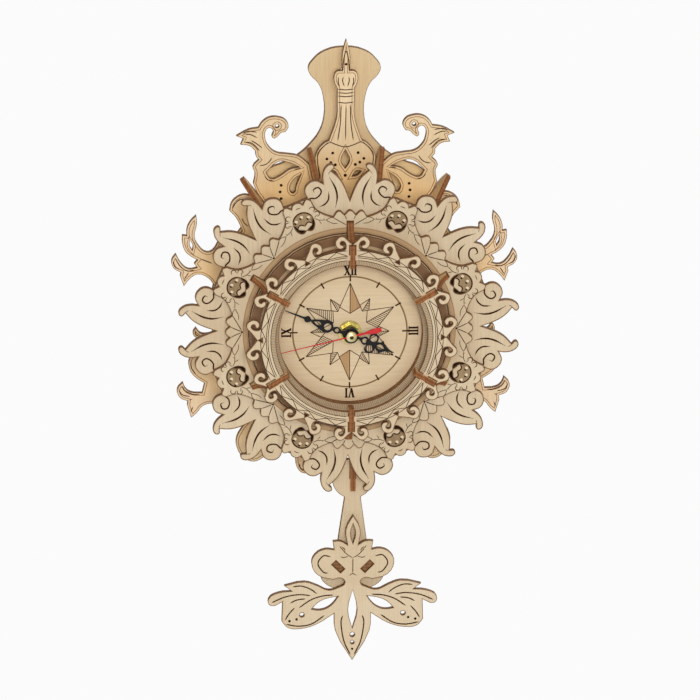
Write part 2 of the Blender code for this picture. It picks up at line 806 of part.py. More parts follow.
def main_ribs():
    def shoulder(out, back):
        return (TAB_OUTER_R + out * DRAWING_UNIT, RIB_FRONT - back * DRAWING_UNIT)

    outline = [
        corner(RIB_HOOK_R, RIB_HOOK_BACK),
        corner(RIB_HOOK_R, RIB_FRONT),
        corner(RIB_CREST_R, RIB_FRONT),
        corner(RIB_CREST_R, BEZEL_BACK - GAP),
        corner(*shoulder(8, 4.8)),
        shoulder(9.6, 9.5),
        shoulder(11.6, 13),
        corner(RIB_OUTER_R, RIB_FRONT - 16 * DRAWING_UNIT),
        corner(RIB_OUTER_R, RIB_REAR),
        corner(RIB_INNER_R, RIB_REAR),
        corner(RIB_INNER_R, RIB_HOOK_BACK),
    ]
    window = [
        corner(TAB_INNER_R - GAP, BEZEL_BACK - GAP),
        corner(TAB_OUTER_R + GAP, BEZEL_BACK - GAP),
        corner(TAB_OUTER_R + GAP, BEZEL_BACK + PLY + GAP),
        corner(TAB_INNER_R - GAP, BEZEL_BACK + PLY + GAP),
    ]
    for number, angle in enumerate(RIB_ANGLES, 1):
        standing_plate(f"main_rib_{number}", [outline, window], angle, dial_axis)


# Bezel: six segments between the ribs, each with two facing pairs of scrolls on its outer edge


def scroll_head(angle, facing):
    """One scroll, from its outer valley round to the slot floor; facing is 1 towards larger angles."""
    hook = [
        at(-3.8, 0.7),
        at(-0.2, 4.2),
        at(3.7, 2.2),
        at(4.3, -0.8),
        at(3, -3.1),
        at(0.7, -3.5),
        at(-0.6, -2.3),
        at(0.3, -1.2),
        at(1.3, -0.7),
        at(1.1, 0.7),
        at(-0.2, 1.1),
        at(-1.4, 0),
        at(-1.8, -2.2),
        at(-0.9, -4.2),
        corner(1.5 * DRAWING_UNIT, BEZEL_RIM_R - SCROLL_R),
    ]
    if facing < 0:
        hook = mirrored(hook)
    return turned(lifted(hook, SCROLL_R), angle)


def bezel_segments():
    half_pitch = 180 / len(RIB_ANGLES)
    tab_end = -2 * GAP
    half = [
        beside(half_pitch, BEZEL_BORE_R, -SHEET_SIDE),
        beside(half_pitch, TAB_INNER_R, -SHEET_SIDE),
        beside(half_pitch, TAB_INNER_R, tab_end),
        beside(half_pitch, TAB_OUTER_R, tab_end),
        beside(half_pitch, TAB_OUTER_R, -SHEET_SIDE),
        beside(half_pitch, RIB_CREST_R + GAP, -SHEET_SIDE),
        beside(half_pitch, RIB_CREST_R + GAP, -GAP / 2),
        beside(half_pitch, RIB_CREST_R + GAP + 0.8 * DRAWING_UNIT, -GAP / 2),
        *scroll_head(24.2, -1),
        sharp_polar(16.1, BEZEL_RIM_R),
        *scroll_head(8, 1)[::-1],
    ]
    middle = sharp_polar(0, BEZEL_RIM_R + 1.7 * DRAWING_UNIT)
    arc = [sharp_polar(angle, BEZEL_BORE_R) for angle in range(-24, 25, 6)]
    outline = half + [middle] + mirrored(half)[::-1] + arc
    triangle = lifted([tip(0, 0.6), tip(1.4, -1.6), tip(-1.4, -1.6)], BEZEL_RIM_R)
    for number, angle in enumerate(RIB_ANGLES, 1):
        name = f"bezel_segment_{number}"
        plate(name, [outline, triangle], BEZEL_BACK, pale_ply, dial_axis, turn=angle + half_pitch)


# Movement: case with its cell, setting knob, threaded bush, washer and nut


def movement():
    depth = CASE_FRONT - CASE_BACK
    place = (0, -(CASE_BACK + depth / 2), 0)
    case = box("movement_case", (CASE_SIDE, depth, CASE_SIDE), place, black_plastic, dial_axis)
    pocket_size = (POCKET_LENGTH, 2 * POCKET_DEPTH, POCKET_HEIGHT)
    pocket = box("cell_pocket", pocket_size, (0, -CASE_BACK, -CELL_DROP), black_plastic, dial_axis)
    combine(case, pocket, "DIFFERENCE")

    half = CELL_LENGTH / 2
    profile = [
        (0, half),
        (CELL_STUD_RADIUS, half),
        (CELL_STUD_RADIUS, half - CELL_STUD_LENGTH),
        (CELL_RADIUS, half - CELL_STUD_LENGTH - CELL_CLEARANCE),
        (CELL_RADIUS, -half),
        (0, -half),
    ]
    cell = lathe("battery_cell", profile, cell_wrap, dial_axis)
    cell.rotation_euler = (0, math.radians(90), 0)
    cell.location = (0, -(CASE_BACK + CELL_RADIUS + CELL_CLEARANCE), -CELL_DROP)

    bush = [circle(0, 0, BUSH_R), circle(0, 0, BUSH_BORE_R)]
    length = BUSH_FRONT - BUSH_BACK
    plate("threaded_bush", bush, BUSH_BACK, brass, dial_axis, thickness=length, steps=5)
    washer = [circle(0, 0, WASHER_R), circle(0, 0, NUT_BORE_R)]
    plate("dial_washer", washer, WASHER_BACK, brass, dial_axis, thickness=WASHER_THICKNESS, steps=6)
    nut = [round_loop(NUT_R, 6), circle(0, 0, NUT_BORE_R)]
    plate("dial_nut", nut, NUT_BACK, brass, dial_axis, thickness=NUT_THICKNESS, steps=5)


def setting_knob():
    grips = 12
    points = []
    for k in range(grips):
        points.append(sharp_polar(360 * k / grips, KNOB_R - KNOB_GROOVE))
        points.append(sharp_polar(360 * (k + 0.5) / grips, KNOB_R))
    back = CASE_BACK - GAP - KNOB_LENGTH
    plate("setting_knob", [points], back, black_plastic, dial_axis, thickness=KNOB_LENGTH)


def pendulum_drive():
    depth = DRIVE_FRONT - DRIVE_BACK
    place = (PIVOT_SIDE, -ROD_MIDDLE, -(DRIVE_TOP + DRIVE_HEIGHT / 2))
    drive = box("pendulum_drive", (DRIVE_WIDTH, depth, DRIVE_HEIGHT), place, black_plastic, dial_axis)
    slot_height = 2 * (DRIVE_BOTTOM - DRIVE_SLOT_TOP)
    slot_size = (DRIVE_SLOT_WIDTH, ROCKER_THICKNESS + 2 * DRIVE_SLOT_SPARE, slot_height)
    slot_place = (PIVOT_SIDE, -ROD_MIDDLE, -DRIVE_BOTTOM)
    slot = box("drive_slot", slot_size, slot_place, black_plastic, dial_axis)
    combine(drive, slot, "DIFFERENCE")
    hole = [circle(0, 0, PIN_R + GAP)]
    bore = plate("drive_bore", hole, 0.0, steel, pendulum_axis, thickness=2 * DRIVE_FRONT)
    combine(drive, as_mesh(bore), "DIFFERENCE")
    plate("rocker_pin", [circle(0, 0, PIN_R)], DRIVE_BACK, steel, pendulum_axis, thickness=depth)


# Hands: each a thin stamped plate on its own tube or arbor, drawn pointing at twelve


def stretched(points, length):
    """The points drawn out along the hand so that the last of them lies at its full length."""
    share = length / points[-1][1]
    return [(point[0], point[1] * share) + tuple(point[2:]) for point in points]


def hand(name, loops, back, turn, material, tube):
    """A hand joined to the shaft that turns it."""
    flat = plate(name, loops, back, material, dial_axis, thickness=HAND_THICKNESS, turn=turn)
    part = as_mesh(flat)
    length = back + HAND_THICKNESS - SHAFT_BACK
    shaft = plate(name + "_shaft", tube, SHAFT_BACK, material, dial_axis, thickness=length)
    combine(part, as_mesh(shaft), "UNION")


def hour_hand():
    drawn = [
        at(0.7, 4.6),
        at(1, 6.4),
        at(2.6, 9.2),
        tip(1.8, 11.2),
        at(5.2, 11),
        at(6.4, 13.7),
        at(4.6, 16.4),
        tip(2.2, 16.6),
        at(2.8, 18.6),
        tip(4.3, 19.6),
        at(1.5, 22.6),
        at(0.6, 25.4),
        tip(0.2, 28.3),
    ]
    right = stretched(drawn, HOUR_LENGTH)
    boss = [at(3.3, 1.6), at(3.6, -0.6), at(2.1, -3)]
    outline = right[::-1] + boss + mirrored(boss)[::-1] + mirrored(right)
    share = HOUR_LENGTH / drawn[-1][1]
    loop = circle(3.25 * DRAWING_UNIT, 13.7 * DRAWING_UNIT * share, 2.1 * DRAWING_UNIT)
    lozenge = [tip(0, 17), at(1.6, 18.8), tip(0, 22), at(-1.6, 18.8)]
    holes = [circle(0, 0, (HOUR_TUBE_R + HOUR_TUBE_BORE_R) / 2), loop, mirrored(loop)]
    holes.append(circle(0, 9.2 * DRAWING_UNIT * share, 1.5 * DRAWING_UNIT))
    holes.append([(p[0], p[1] * share) + tuple(p[2:]) for p in lozenge])
    tube = [circle(0, 0, HOUR_TUBE_R), circle(0, 0, HOUR_TUBE_BORE_R)]
    hand("hour_hand", [outline] + holes, HOUR_BACK, HOUR_TURN, black_paint, tube)


def minute_hand():
    drawn = [
        at(0.9, 6),
        at(2.1, 9.2),
        tip(1, 11.8),
        at(3.2, 13.4),
        at(3.9, 16.2),
        at(2.6, 20.6),
        at(1.6, 23.8),
        tip(0.5, 25.8),
        at(2.1, 28.3),
        tip(0.6, 30.4),
        tip(0.2, 42.7),
    ]
    right = stretched(drawn, MINUTE_LENGTH)
    boss = [at(2.7, 3.9), at(4.6, 1.4), at(4.4, -1.9), at(2.3, -4.2)]
    outline = right[::-1] + boss + mirrored(boss)[::-1] + mirrored(right)
    share = MINUTE_LENGTH / drawn[-1][1]
    lozenge = [tip(0, 19.2), at(1.2, 21.2), tip(0, 24), at(-1.2, 21.2)]
    holes = [circle(0, 0, (MINUTE_TUBE_R + MINUTE_TUBE_BORE_R) / 2)]
    holes.append(circle(0, 9.2 * DRAWING_UNIT * share, 1.2 * DRAWING_UNIT))
    holes.append(circle(0, 15.2 * DRAWING_UNIT * share, 2.2 * DRAWING_UNIT))
    holes.append([(p[0], p[1] * share) + tuple(p[2:]) for p in lozenge])
    tube = [circle(0, 0, MINUTE_TUBE_R), circle(0, 0, MINUTE_TUBE_BORE_R)]
    hand("minute_hand", [outline] + holes, MINUTE_BACK, MINUTE_TURN, black_paint, tube)


def second_hand():
    right = [
        corner(0.15 * DRAWING_UNIT, SECOND_LENGTH),
        tip(0.4, 2.4),
        at(1.8, 1.6),
        at(1.8, -1.6),
        tip(0.6, -2.4),
        tip(0.7, -9),
        at(1.6, -14),
        tip(1.2, -18.5),
    ]
    outline = right + mirrored(right)[::-1]
    hand("second_hand", [outline], SECOND_BACK, SECOND_TURN, red_paint, [circle(0, 0, ARBOR_R)])
    profile = [
        (0, HUB_CAP_HEIGHT),
        (0.58 * HUB_CAP_R, 0.85 * HUB_CAP_HEIGHT),
        (0.91 * HUB_CAP_R, 0.45 * HUB_CAP_HEIGHT),
        (HUB_CAP_R, 0),
        (0, 0),
    ]
    cap = lathe("hub_cap", profile, brass, dial_axis)
    cap.rotation_euler = (math.radians(90), 0, 0)
    cap.location = (0, -(SECOND_BACK + HAND_THICKNESS + GAP), 0)


# Pendulum: a rocker in the drive, a standing hanger fin, the rod, and the bob's ornament on two keys


def rocker_and_hanger():
    notch_top = ROCKER_LAP - ROCKER_LENGTH
    rocker = [
        (-ROCKER_HALF_WIDTH, 0),
        (0, ROCKER_HALF_WIDTH),
        (ROCKER_HALF_WIDTH, 0),
        corner(ROCKER_HALF_WIDTH, -ROCKER_LENGTH),
        corner(HALF_SLOT, -ROCKER_LENGTH),
        corner(HALF_SLOT, notch_top),
        corner(-HALF_SLOT, notch_top),
        corner(-HALF_SLOT, -ROCKER_LENGTH),
        corner(-ROCKER_HALF_WIDTH, -ROCKER_LENGTH),
    ]
    loops = [rocker, circle(0, 0, PIN_R + GAP)]
    back = ROD_MIDDLE - ROCKER_THICKNESS / 2
    plate("pendulum_rocker", loops, back, black_plastic, pendulum_axis, thickness=ROCKER_THICKNESS)
    rocker_lap = ROCKER_THICKNESS / 2 + GAP
    lap_end = ROCKER_LENGTH + GAP
    head_lap = HEAD_DROP - GAP
    fin = [
        corner(HANGER_TOP, HANGER_BACK),
        corner(HANGER_TOP, ROD_MIDDLE - rocker_lap),
        corner(lap_end, ROD_MIDDLE - rocker_lap),
        corner(lap_end, ROD_MIDDLE + rocker_lap),
        corner(HANGER_TOP, ROD_MIDDLE + rocker_lap),
        corner(HANGER_TOP, HANGER_FRONT),
        corner(HANGER_BOTTOM, HANGER_FRONT),
        corner(HANGER_BOTTOM, ROD_MIDDLE + HALF_SLOT),
        corner(head_lap, ROD_MIDDLE + HALF_SLOT),
        corner(head_lap, ROD_MIDDLE - HALF_SLOT),
        corner(HANGER_BOTTOM, ROD_MIDDLE - HALF_SLOT),
        corner(HANGER_BOTTOM, HANGER_BACK),
    ]
    standing_plate("hanger_fin", [fin], 180, pendulum_axis)


def key_place(side):
    """Centre of a key, measured from the disc's centre."""
    x, z = at(8.8, -2.4)
    return side * x, z


def key_slot(side):
    """The slot for one key, leaning 45 degrees."""
    x, z = key_place(1)
    reach = KEY_LENGTH / 2 + GAP
    across = [(-HALF_SLOT, reach), (HALF_SLOT, reach), (HALF_SLOT, -reach), (-HALF_SLOT, -reach)]
    lean = math.sqrt(0.5)
    return [corner(side * (x + (a + b) * lean), z + (b - a) * lean) for a, b in across]


def pendulum_rod():
    mouth = math.sqrt(HEAD_R**2 - HALF_SLOT**2) - HEAD_DROP
    head = [sharp_polar(angle, HEAD_R) for angle in range(16, 160, 14)]
    bell = [at(9.5, 8.5), at(13.2, 3), at(17.4, -4), at(19.1, -9.8), at(16, -14.8), at(9.5, -18)]
    right = [corner(HALF_SLOT, -HEAD_DROP), corner(HALF_SLOT, mouth)]
    right += lifted(head, -HEAD_DROP)
    right.append(corner(ROD_TOP_HALF, -HEAD_DROP - HEAD_R))
    right.append(corner(ROD_LOW_HALF, DISC_SHOULDER - DISC_DROP))
    right += lifted(bell, -DISC_DROP)
    right.append((0, -DISC_DROP - DISC_R))
    loops = [both_sides(right), lifted(key_slot(1), -DISC_DROP), lifted(key_slot(-1), -DISC_DROP)]
    plate("pendulum_rod", loops, ROD_BACK, pale_ply, pendulum_axis)


def bob():
    right = [
        tip(0, 30),
        at(4.4, 21),
        tip(3.2, 11.2),
        at(7.4, 13.8),
        tip(12.2, 13.8),
        tip(11.4, 8.4),
        at(16.8, 9),
        at(23, 5.6),
        at(25, 0),
        at(21, -7.6),
        tip(11.6, -10.4),
        at(7.2, -9.6),
        at(4.6, -12.4),
        at(9, -15.6),
        at(14.8, -17),
        at(21, -14.2),
        at(29, -11.5),
        tip(41.4, -13.8),
        tip(36.6, -17.4),
        at(45, -18.2),
        at(51, -22.2),
        at(49.6, -26.4),
        tip(42.4, -24),
        tip(42.8, -36.4),
        at(39, -40.6),
        at(32, -41.4),
        at(22, -38.8),
        tip(11.2, -32),
        at(10.4, -43),
        tip(0, -61.9),
    ]
    top_slit = both_sides([tip(0, 25), at(1.5, 18.4), tip(0, 11.8)])
    centre_slit = both_sides([tip(0, -17.4), at(2.7, -29.6), tip(0, -41.6)])
    almond = [tip(8.8, -21.2), at(16.6, -22.7), at(21.2, -25.2), tip(24.7, -29)]
    almond += [at(19.7, -29.6), at(14.8, -28), at(11.2, -24.8)]
    eye = circle(*at(30.6, -32.5), 1.4 * DRAWING_UNIT)
    low_eye = circle(*at(0, -45.6), 1.4 * DRAWING_UNIT)
    loops = [both_sides(right), top_slit, centre_slit, almond, mirrored(almond), eye, mirrored(eye)]
    loops += [low_eye, circle(*at(0, -50.5), 1.1 * DRAWING_UNIT), key_slot(1), key_slot(-1)]
    shifted = [lifted(loop, -DISC_DROP) for loop in loops]
    plate("bob_ornament", shifted, BOB_BACK, pale_ply, pendulum_axis)

    for name, side in (("bob_key_left", -1), ("bob_key_right", 1)):
        x, z = key_place(side)
        place = (x, -(ROD_BACK + KEY_DEPTH / 2), z - DISC_DROP)
        key = box(name, (PLY, KEY_DEPTH, KEY_LENGTH), place, edge_ply, pendulum_axis)
        key.rotation_euler = (0, side * math.radians(45), 0)


back_plate()
fins()
spire_panel()
bird_panels()
horn_panels()
sprig_panels()
lobe_panels()
leaf_ring()
medallion_ring()
dial_stack()
main_ribs()
bezel_segments()
movement()
setting_knob()
pendulum_drive()
hour_hand()
minute_hand()
second_hand()
rocker_and_hanger()
pendulum_rod()
bob()
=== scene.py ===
import math

import bpy
import numpy as np
from mathutils import Matrix, Vector


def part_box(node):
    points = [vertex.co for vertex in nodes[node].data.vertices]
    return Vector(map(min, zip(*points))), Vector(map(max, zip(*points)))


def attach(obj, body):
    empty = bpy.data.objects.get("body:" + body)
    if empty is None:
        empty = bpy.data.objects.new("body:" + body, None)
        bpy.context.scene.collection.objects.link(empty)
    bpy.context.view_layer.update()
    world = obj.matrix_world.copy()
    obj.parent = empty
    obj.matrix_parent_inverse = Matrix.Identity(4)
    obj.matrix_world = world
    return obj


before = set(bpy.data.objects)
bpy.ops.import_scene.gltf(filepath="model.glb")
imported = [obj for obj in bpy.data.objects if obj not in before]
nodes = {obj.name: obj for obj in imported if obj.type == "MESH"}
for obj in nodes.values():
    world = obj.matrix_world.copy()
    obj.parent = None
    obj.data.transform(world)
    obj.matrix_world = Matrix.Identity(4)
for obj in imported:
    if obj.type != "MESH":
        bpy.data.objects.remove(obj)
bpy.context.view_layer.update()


# Back plate
# A 3 mm plywood plate with a hanger head and neck, and a disc that every fin is glued into.
# It is cut by laser, so its faces keep the pale veneer and its edges and borders are scorched brown.


class Value:
    """A number, colour or vector in a material. Arithmetic on it adds the nodes that work it out."""

    def __init__(self, tree, socket=None):
        self.tree, self.socket = tree, socket

    def node(self, kind, settings={}, inputs={}, output=0):
        """Adds a node, its settings first, then a number or a link for each socket; gives one output."""
        made = self.tree.nodes.new(kind)
        for name, setting in settings.items():
            setattr(made, name, setting)
        for socket, value in inputs.items():
            if isinstance(value, Value):
                self.tree.links.new(made.inputs[socket], value.socket)
            else:
                made.inputs[socket].default_value = value
        return Value(self.tree, made.outputs[output])

    def math(self, operation, *others):
        """One step of arithmetic on this number and the others."""
        return self.node("ShaderNodeMath", {"operation": operation}, dict(enumerate((self, *others))))

    def __add__(self, other):
        return self.math("ADD", other)

    def __sub__(self, other):
        return self.math("SUBTRACT", other)

    def __rsub__(self, other):
        return self.node("ShaderNodeMath", {"operation": "SUBTRACT"}, {0: other, 1: self})

    def __mul__(self, other):
        return self.math("MULTIPLY", other)

    def __abs__(self):
        return self.math("ABSOLUTE")

    __radd__, __rmul__ = __add__, __mul__

    def rise(self, low, high):
        """Goes smoothly from 0 at low to 1 at high."""
        settings = {"interpolation_type": "SMOOTHSTEP"}
        return self.node("ShaderNodeMapRange", settings, {0: self, 1: low, 2: high})

    def between(self, first, second):
        """The colour this far on the way from the first to the second."""
        return self.node("ShaderNodeMix", {"data_type": "RGBA"}, {0: self, 6: first, 7: second}, 2)

    def across(self, direction):
        """How far this vector points along a direction."""
        return self.node("ShaderNodeVectorMath", {"operation": "DOT_PRODUCT"}, {0: self, 1: direction}, 1)

    def noise(self, scale, detail=2.0, stretch=(1, 1, 1)):
        """Cloudy noise of this many blotches to the metre, drawn out along the axes that stretch less."""
        spread = self.node("ShaderNodeMapping", {}, {"Vector": self, "Scale": stretch})
        return self.node("ShaderNodeTexNoise", {}, {"Vector": spread, "Scale": scale, "Detail": detail})


def tone(red, green, blue):
    """A colour of 0 to 255 as seen on a screen, as the linear colour that a shader takes."""
    part = np.array((red, green, blue)) / 255
    linear = np.where(part <= 0.04045, part / 12.92, ((part + 0.055) / 1.055) ** 2.4)
    return (*linear.tolist(), 1.0)


def blank(name):
    """A new material: its shader, and where object coordinates and normals start."""
    material = bpy.data.materials.new(name)
    material.use_nodes = True
    shader = material.node_tree.nodes["Principled BSDF"]
    start = Value(material.node_tree)
    place = start.node("ShaderNodeTexCoord", output="Object")
    slope = start.node("ShaderNodeTexCoord", output="Normal")
    return material, shader, place, slope


def feed(shader, **values):
    """Links values to the shader's sockets; an underscore stands for a space."""
    for name, value in values.items():
        value.tree.links.new(shader.inputs[name.replace("_", " ")], value.socket)


def bumped(height, strength, distance):
    """A normal tilted by the slope of a height."""
    return height.node("ShaderNodeBump", {}, {"Strength": strength, "Distance": distance, "Height": height})


SCORCH, RUST, VESSEL = tone(86, 55, 29), tone(150, 106, 64), tone(150, 112, 70)
PLY_PAIR = 0.0021


def plywood(name, pale, deep, facing=(0, 1, 0), grain=(1, 1, 0.03), scorch=SCORCH, rust=RUST, marks=None):
    """Plywood. Veneer fibres are noise drawn out along the grain, with slow clouds of tone over them.
    Where the surface turns away from the sheet's facing it is a cut edge: plies are a sine across the
    sheet, burnt and streaked by the beam."""
    material, shader, place, slope = blank(name)
    fibre = place.noise(950, 3, grain)
    vessel = place.noise(2600, 1, grain)
    cloud = place.noise(28, 3)
    figure = (fibre * 0.45 + cloud * 0.55).rise(0.3, 0.7)
    face = figure.between(deep, pale)
    face = (vessel.rise(0.6, 0.78) * 0.16).between(face, VESSEL)
    if marks:
        face = marks(place, slope, face)
    cut = 1 - abs(slope.across(facing)).rise(0.55, 0.85)
    along = [1 - 0.97 * abs(part) for part in facing]
    streak = place.noise(1500, 2, along)
    ply = place.across([2 * math.pi / PLY_PAIR * part for part in facing]).math("SINE")
    burnt = (streak.rise(0.2, 0.8) * 0.55 + ply * 0.2 + 0.22).between(scorch, rust)
    shader.inputs["Specular IOR Level"].default_value = 0.25
    feed(shader, Base_Color=cut.between(face, burnt), Roughness=fibre * 0.3 + cut * 0.1 + 0.5)
    feed(shader, Normal=bumped(fibre * 0.6 + streak * cut, 0.25, 0.0004))
    return material


def finish_piece(name, corners, faces, body, material, across=None):
    """Puts corners and faces into a mesh at the origin and fixes it to a body of the clock."""
    mesh = bpy.data.meshes.new(name)
    mesh.from_pydata(corners.tolist(), [], faces)
    if across is not None:
        mesh.attributes.new("across", "FLOAT", "POINT").data.foreach_set("value", across.astype(np.float32))
    mesh.materials.append(material)
    piece = bpy.data.objects.new(name, mesh)
    bpy.context.scene.collection.objects.link(piece)
    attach(piece, body)
    return piece


def clad(node, material):
    """Gives a CAD node its finished material."""
    nodes[node].data.materials.clear()
    nodes[node].data.materials.append(material)


def scorch_and_shade_strip(name, inner, outer, fade):
    """A dark strip on a face: dark along its outer side, fading to the veneer on its inner side. It stands
    for burnt wood, and along the plates' rims it is partly painted edge shade.
    """
    material, shader, place, _ = blank(name)
    side = place.node("ShaderNodeAttribute", {"attribute_name": "across"}, output="Fac")
    smoke = place.noise(700, 2)
    feed(shader, Base_Color=(side + smoke * 0.5 - 0.25).rise(*fade).between(outer, inner))
    feed(shader, Roughness=smoke * 0.2 + 0.6)
    return material


# Burnt marks reach from just under a face to just over it, and rim marks start just inside the cut edge.
SUNK, PROUD, RIM = -2e-5, 3e-5, 1e-5


# The rim strips, named scorch, are partly real laser scorch and partly painted edge shade.
def border(node, start, width, material, body="clock_body", name="scorch"):
    """A strip that follows a plate's border. The border is every edge of the front face that has no
    triangle on its other side; at each corner the strip's four-cornered profile stands on the mitre of
    the two edges' inward normals, from start to start + width, a little sunk and a little proud."""
    mesh, facing = nodes[node].data, np.array((0, -1.0, 0))
    corners = np.empty(len(mesh.vertices) * 3, np.float32)
    mesh.vertices.foreach_get("co", corners)
    mesh.calc_loop_triangles()
    triangles = np.empty(len(mesh.loop_triangles) * 3, np.int32)
    mesh.loop_triangles.foreach_get("vertices", triangles)
    keys = np.round(corners.reshape(-1, 3) * 1e6).astype(np.int64)
    keys, index = np.unique(keys, axis=0, return_inverse=True)
    corners, triangles = keys * 1e-6, index.reshape(-1)[triangles].reshape(-1, 3)
    first, second, third = (corners[triangles[:, k]] for k in range(3))
    normals = np.cross(second - first, third - first)
    sizes = np.linalg.norm(normals, axis=1)
    triangles = triangles[normals @ facing > 0.9 * np.maximum(sizes, 1e-15)]
    edges = np.concatenate([triangles[:, [0, 1]], triangles[:, [1, 2]], triangles[:, [2, 0]]])
    total = len(corners)
    edges = edges[~np.isin(edges[:, 0] * total + edges[:, 1], edges[:, 1] * total + edges[:, 0])]
    run = corners[edges[:, 1]] - corners[edges[:, 0]]
    inward = np.cross(facing, run / np.linalg.norm(run, axis=1)[:, None])
    leaving, arriving = np.zeros((2, total, 3))
    leaving[edges[:, 0]], arriving[edges[:, 1]] = inward, inward
    used, place = np.unique(edges, return_inverse=True)
    leaving, arriving, edges = leaving[used], arriving[used], place.reshape(-1, 2)
    mitre = (leaving + arriving) / np.maximum(1 + (leaving * arriving).sum(1), 0.35)[:, None]
    end = start + width
    profile = [(start, SUNK), (start, PROUD), (end, PROUD), (end, SUNK)]
    rings = np.stack([corners[used] + mitre * side + facing * lift for side, lift in profile], 1)
    here, there = edges[:, :1] * 4, edges[:, 1:] * 4
    turn = np.arange(4)
    faces = np.stack([here + turn, there + turn, there + (turn + 1) % 4, here + (turn + 1) % 4], 2)
    faces, across = faces.reshape(-1, 4).tolist(), np.tile(np.array([0, 0, 1, 1.0]), len(used))
    label, corners = f"{node}_{name}", rings.reshape(-1, 3)
    return finish_piece(label, corners, faces, body, material, across)


# Partly real laser scorch, partly painted shade: the rim strips are widened on the leaf ring, medallion
# ring and bezel to stand for the shade along their edges.
rim_scorch_and_shade = scorch_and_shade_strip("rim_scorch_and_shade", tone(170, 136, 96), tone(72, 45, 23), (0.2, 0.9))
dial_low, dial_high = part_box("dial_plate")
DIAL_Z = (dial_low.z + dial_high.z) / 2


def polar(place):
    """Radius from the dial's centre in mm, and the angle round it in radians."""
    parts = place.node("ShaderNodeSeparateXYZ", {}, {0: place})
    across = Value(parts.tree, parts.socket.node.outputs["X"]) * 1000
    up = (Value(parts.tree, parts.socket.node.outputs["Z"]) - DIAL_Z) * 1000
    return (across * across + up * up).math("SQRT"), across.math("ARCTAN2", up)


def painted_bounce_light(golden_bounce_light):
    """Painted bounce light: marks that turn wood more golden towards the dial, where it lies behind the
    front layers and light bouncing between them warms it.
    """

    def marks(place, slope, face):
        radius, _ = polar(place)
        return (0.8 - 0.8 * radius.rise(80, 108)).between(face, golden_bounce_light)

    return marks


# Painted bounce light: the back plate's face is painted brighter and golden round the dial, where it lies
# in the shade of the panels and rings.
behind = painted_bounce_light(tone(254, 226, 168))
clad("back_plate", plywood("back_plywood", tone(216, 191, 150), tone(205, 177, 136), marks=behind))
border("back_plate", RIM, 0.00035, rim_scorch_and_shade)


# Fins
# Ten standing plywood pieces whose tabs are glued into the back plate and the leaf ring.
# The room sees their cut edges, so they look like short brown bars between the panels.

FIN_ANGLES = {f"crown_fin_{k}": angle for k, angle in enumerate((-36, -12, 12, 36), 1)}
FIN_ANGLES |= {f"side_fin_{k}": a for k, a in enumerate((-157.5, -112.5, -67.5, 67.5, 112.5, 157.5), 1)}


def standing_ply(node, angle):
    """Plywood that stands on its edge at an angle round the dial, so its faces look along the circle."""
    turn = math.radians(angle)
    facing = (math.cos(turn), 0, -math.sin(turn))
    grain = (1, 0.03, 1)
    edge, core = tone(90, 52, 26), tone(162, 103, 57)
    clad(node, plywood(f"{node}_ply", tone(222, 190, 142), tone(198, 160, 112), facing, grain, edge, core))


for fin, fin_angle in FIN_ANGLES.items():
    standing_ply(fin, fin_angle)


# Rear ornament
# Flat panels fixed between the fins: a spire above, birds beside it, then horns, sprigs and low lobes.
# Their feathers, flutes and dots are lines burnt into the veneer by the laser.


def front(node):
    """How far a node's front face stands off the wall, in metres."""
    return -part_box(node)[0].y


REAR_FACE = front("spire_panel")
PANELS = ["spire_panel"]
PANELS += [f"{n}_panel_{s}" for n in ("bird", "horn", "sprig", "lobe") for s in ("left", "right")]


def turned(points, angle):
    """The points turned clockwise about the dial's centre."""
    turn = math.radians(angle)
    x, y = np.asarray(points, float).T
    return np.stack([x * math.cos(turn) + y * math.sin(turn), y * math.cos(turn) - x * math.sin(turn)], 1)


def both(paths):
    """The paths and their mirror images."""
    return [np.asarray(p, float) * (side, 1) for p in paths for side in (1, -1)]


def smooth(points, steps=6):
    """A curve through the points: on each stretch a cubic whose slope at either end is half the way
    between the points before and after that end."""
    p = np.asarray(points, float)
    p = np.vstack([2 * p[0] - p[1], p, 2 * p[-1] - p[-2]])
    a, b, c, d = (p[k : len(p) - 3 + k, None] for k in range(4))
    t = np.linspace(0, 1, steps, endpoint=False)[None, :, None]
    bend, twist = a - 2.5 * b + 2 * c - d / 2, 1.5 * (b - c) + (d - a) / 2
    curve = b + (c - a) * t / 2 + bend * t**2 + twist * t**3
    return np.vstack([curve.reshape(-1, 2), p[-2]])


def engraved(name, paths, width, depth, material, body="clock_body", centre=DIAL_Z, taper=1.2, proud=4e-5):
    """Lines burnt into a face, given in mm about a centre. At each point of a line a flat four-cornered
    profile stands square to the line; its width grows from a point over the taper length at both ends."""
    corners, faces, across, count = [], [], [], 0
    for path in paths:
        run = np.gradient(path, axis=0)
        run /= np.linalg.norm(run, axis=1)[:, None]
        aside = np.stack([-run[:, 1], run[:, 0]], 1)
        length = np.concatenate([[0], np.cumsum(np.linalg.norm(np.diff(path, axis=0), axis=1))])
        reach = np.minimum(length, length[-1] - length)
        half = width / 2 * (np.clip(reach / taper, 0.15, 1) if taper else np.ones(len(path)))
        edges = [path - aside * half[:, None], path + aside * half[:, None]]
        ring = [(edges[0], SUNK), (edges[0], proud), (edges[1], proud), (edges[1], SUNK)]
        grid = [
            np.stack([edge[:, 0] / 1000, np.full(len(path), -depth - lift), edge[:, 1] / 1000 + centre], 1)
            for edge, lift in ring
        ]
        corners.append(np.stack(grid, 1).reshape(-1, 3))
        here = count + 4 * np.arange(len(path) - 1)[:, None]
        turn, after = np.arange(4), (np.arange(4) + 1) % 4
        sides = np.stack([here + turn, here + 4 + turn, here + 4 + after, here + after], 2)
        last = count + 4 * (len(path) - 1)
        faces += sides.reshape(-1, 4).tolist() + [(count + turn).tolist(), (last + turn[::-1]).tolist()]
        across.append(np.tile(np.array([0, 0, 1, 1.0]), len(path)))
        count += 4 * len(path)
    corners, across = np.concatenate(corners), np.concatenate(across)
    return finish_piece(name, corners, faces, body, material, across)


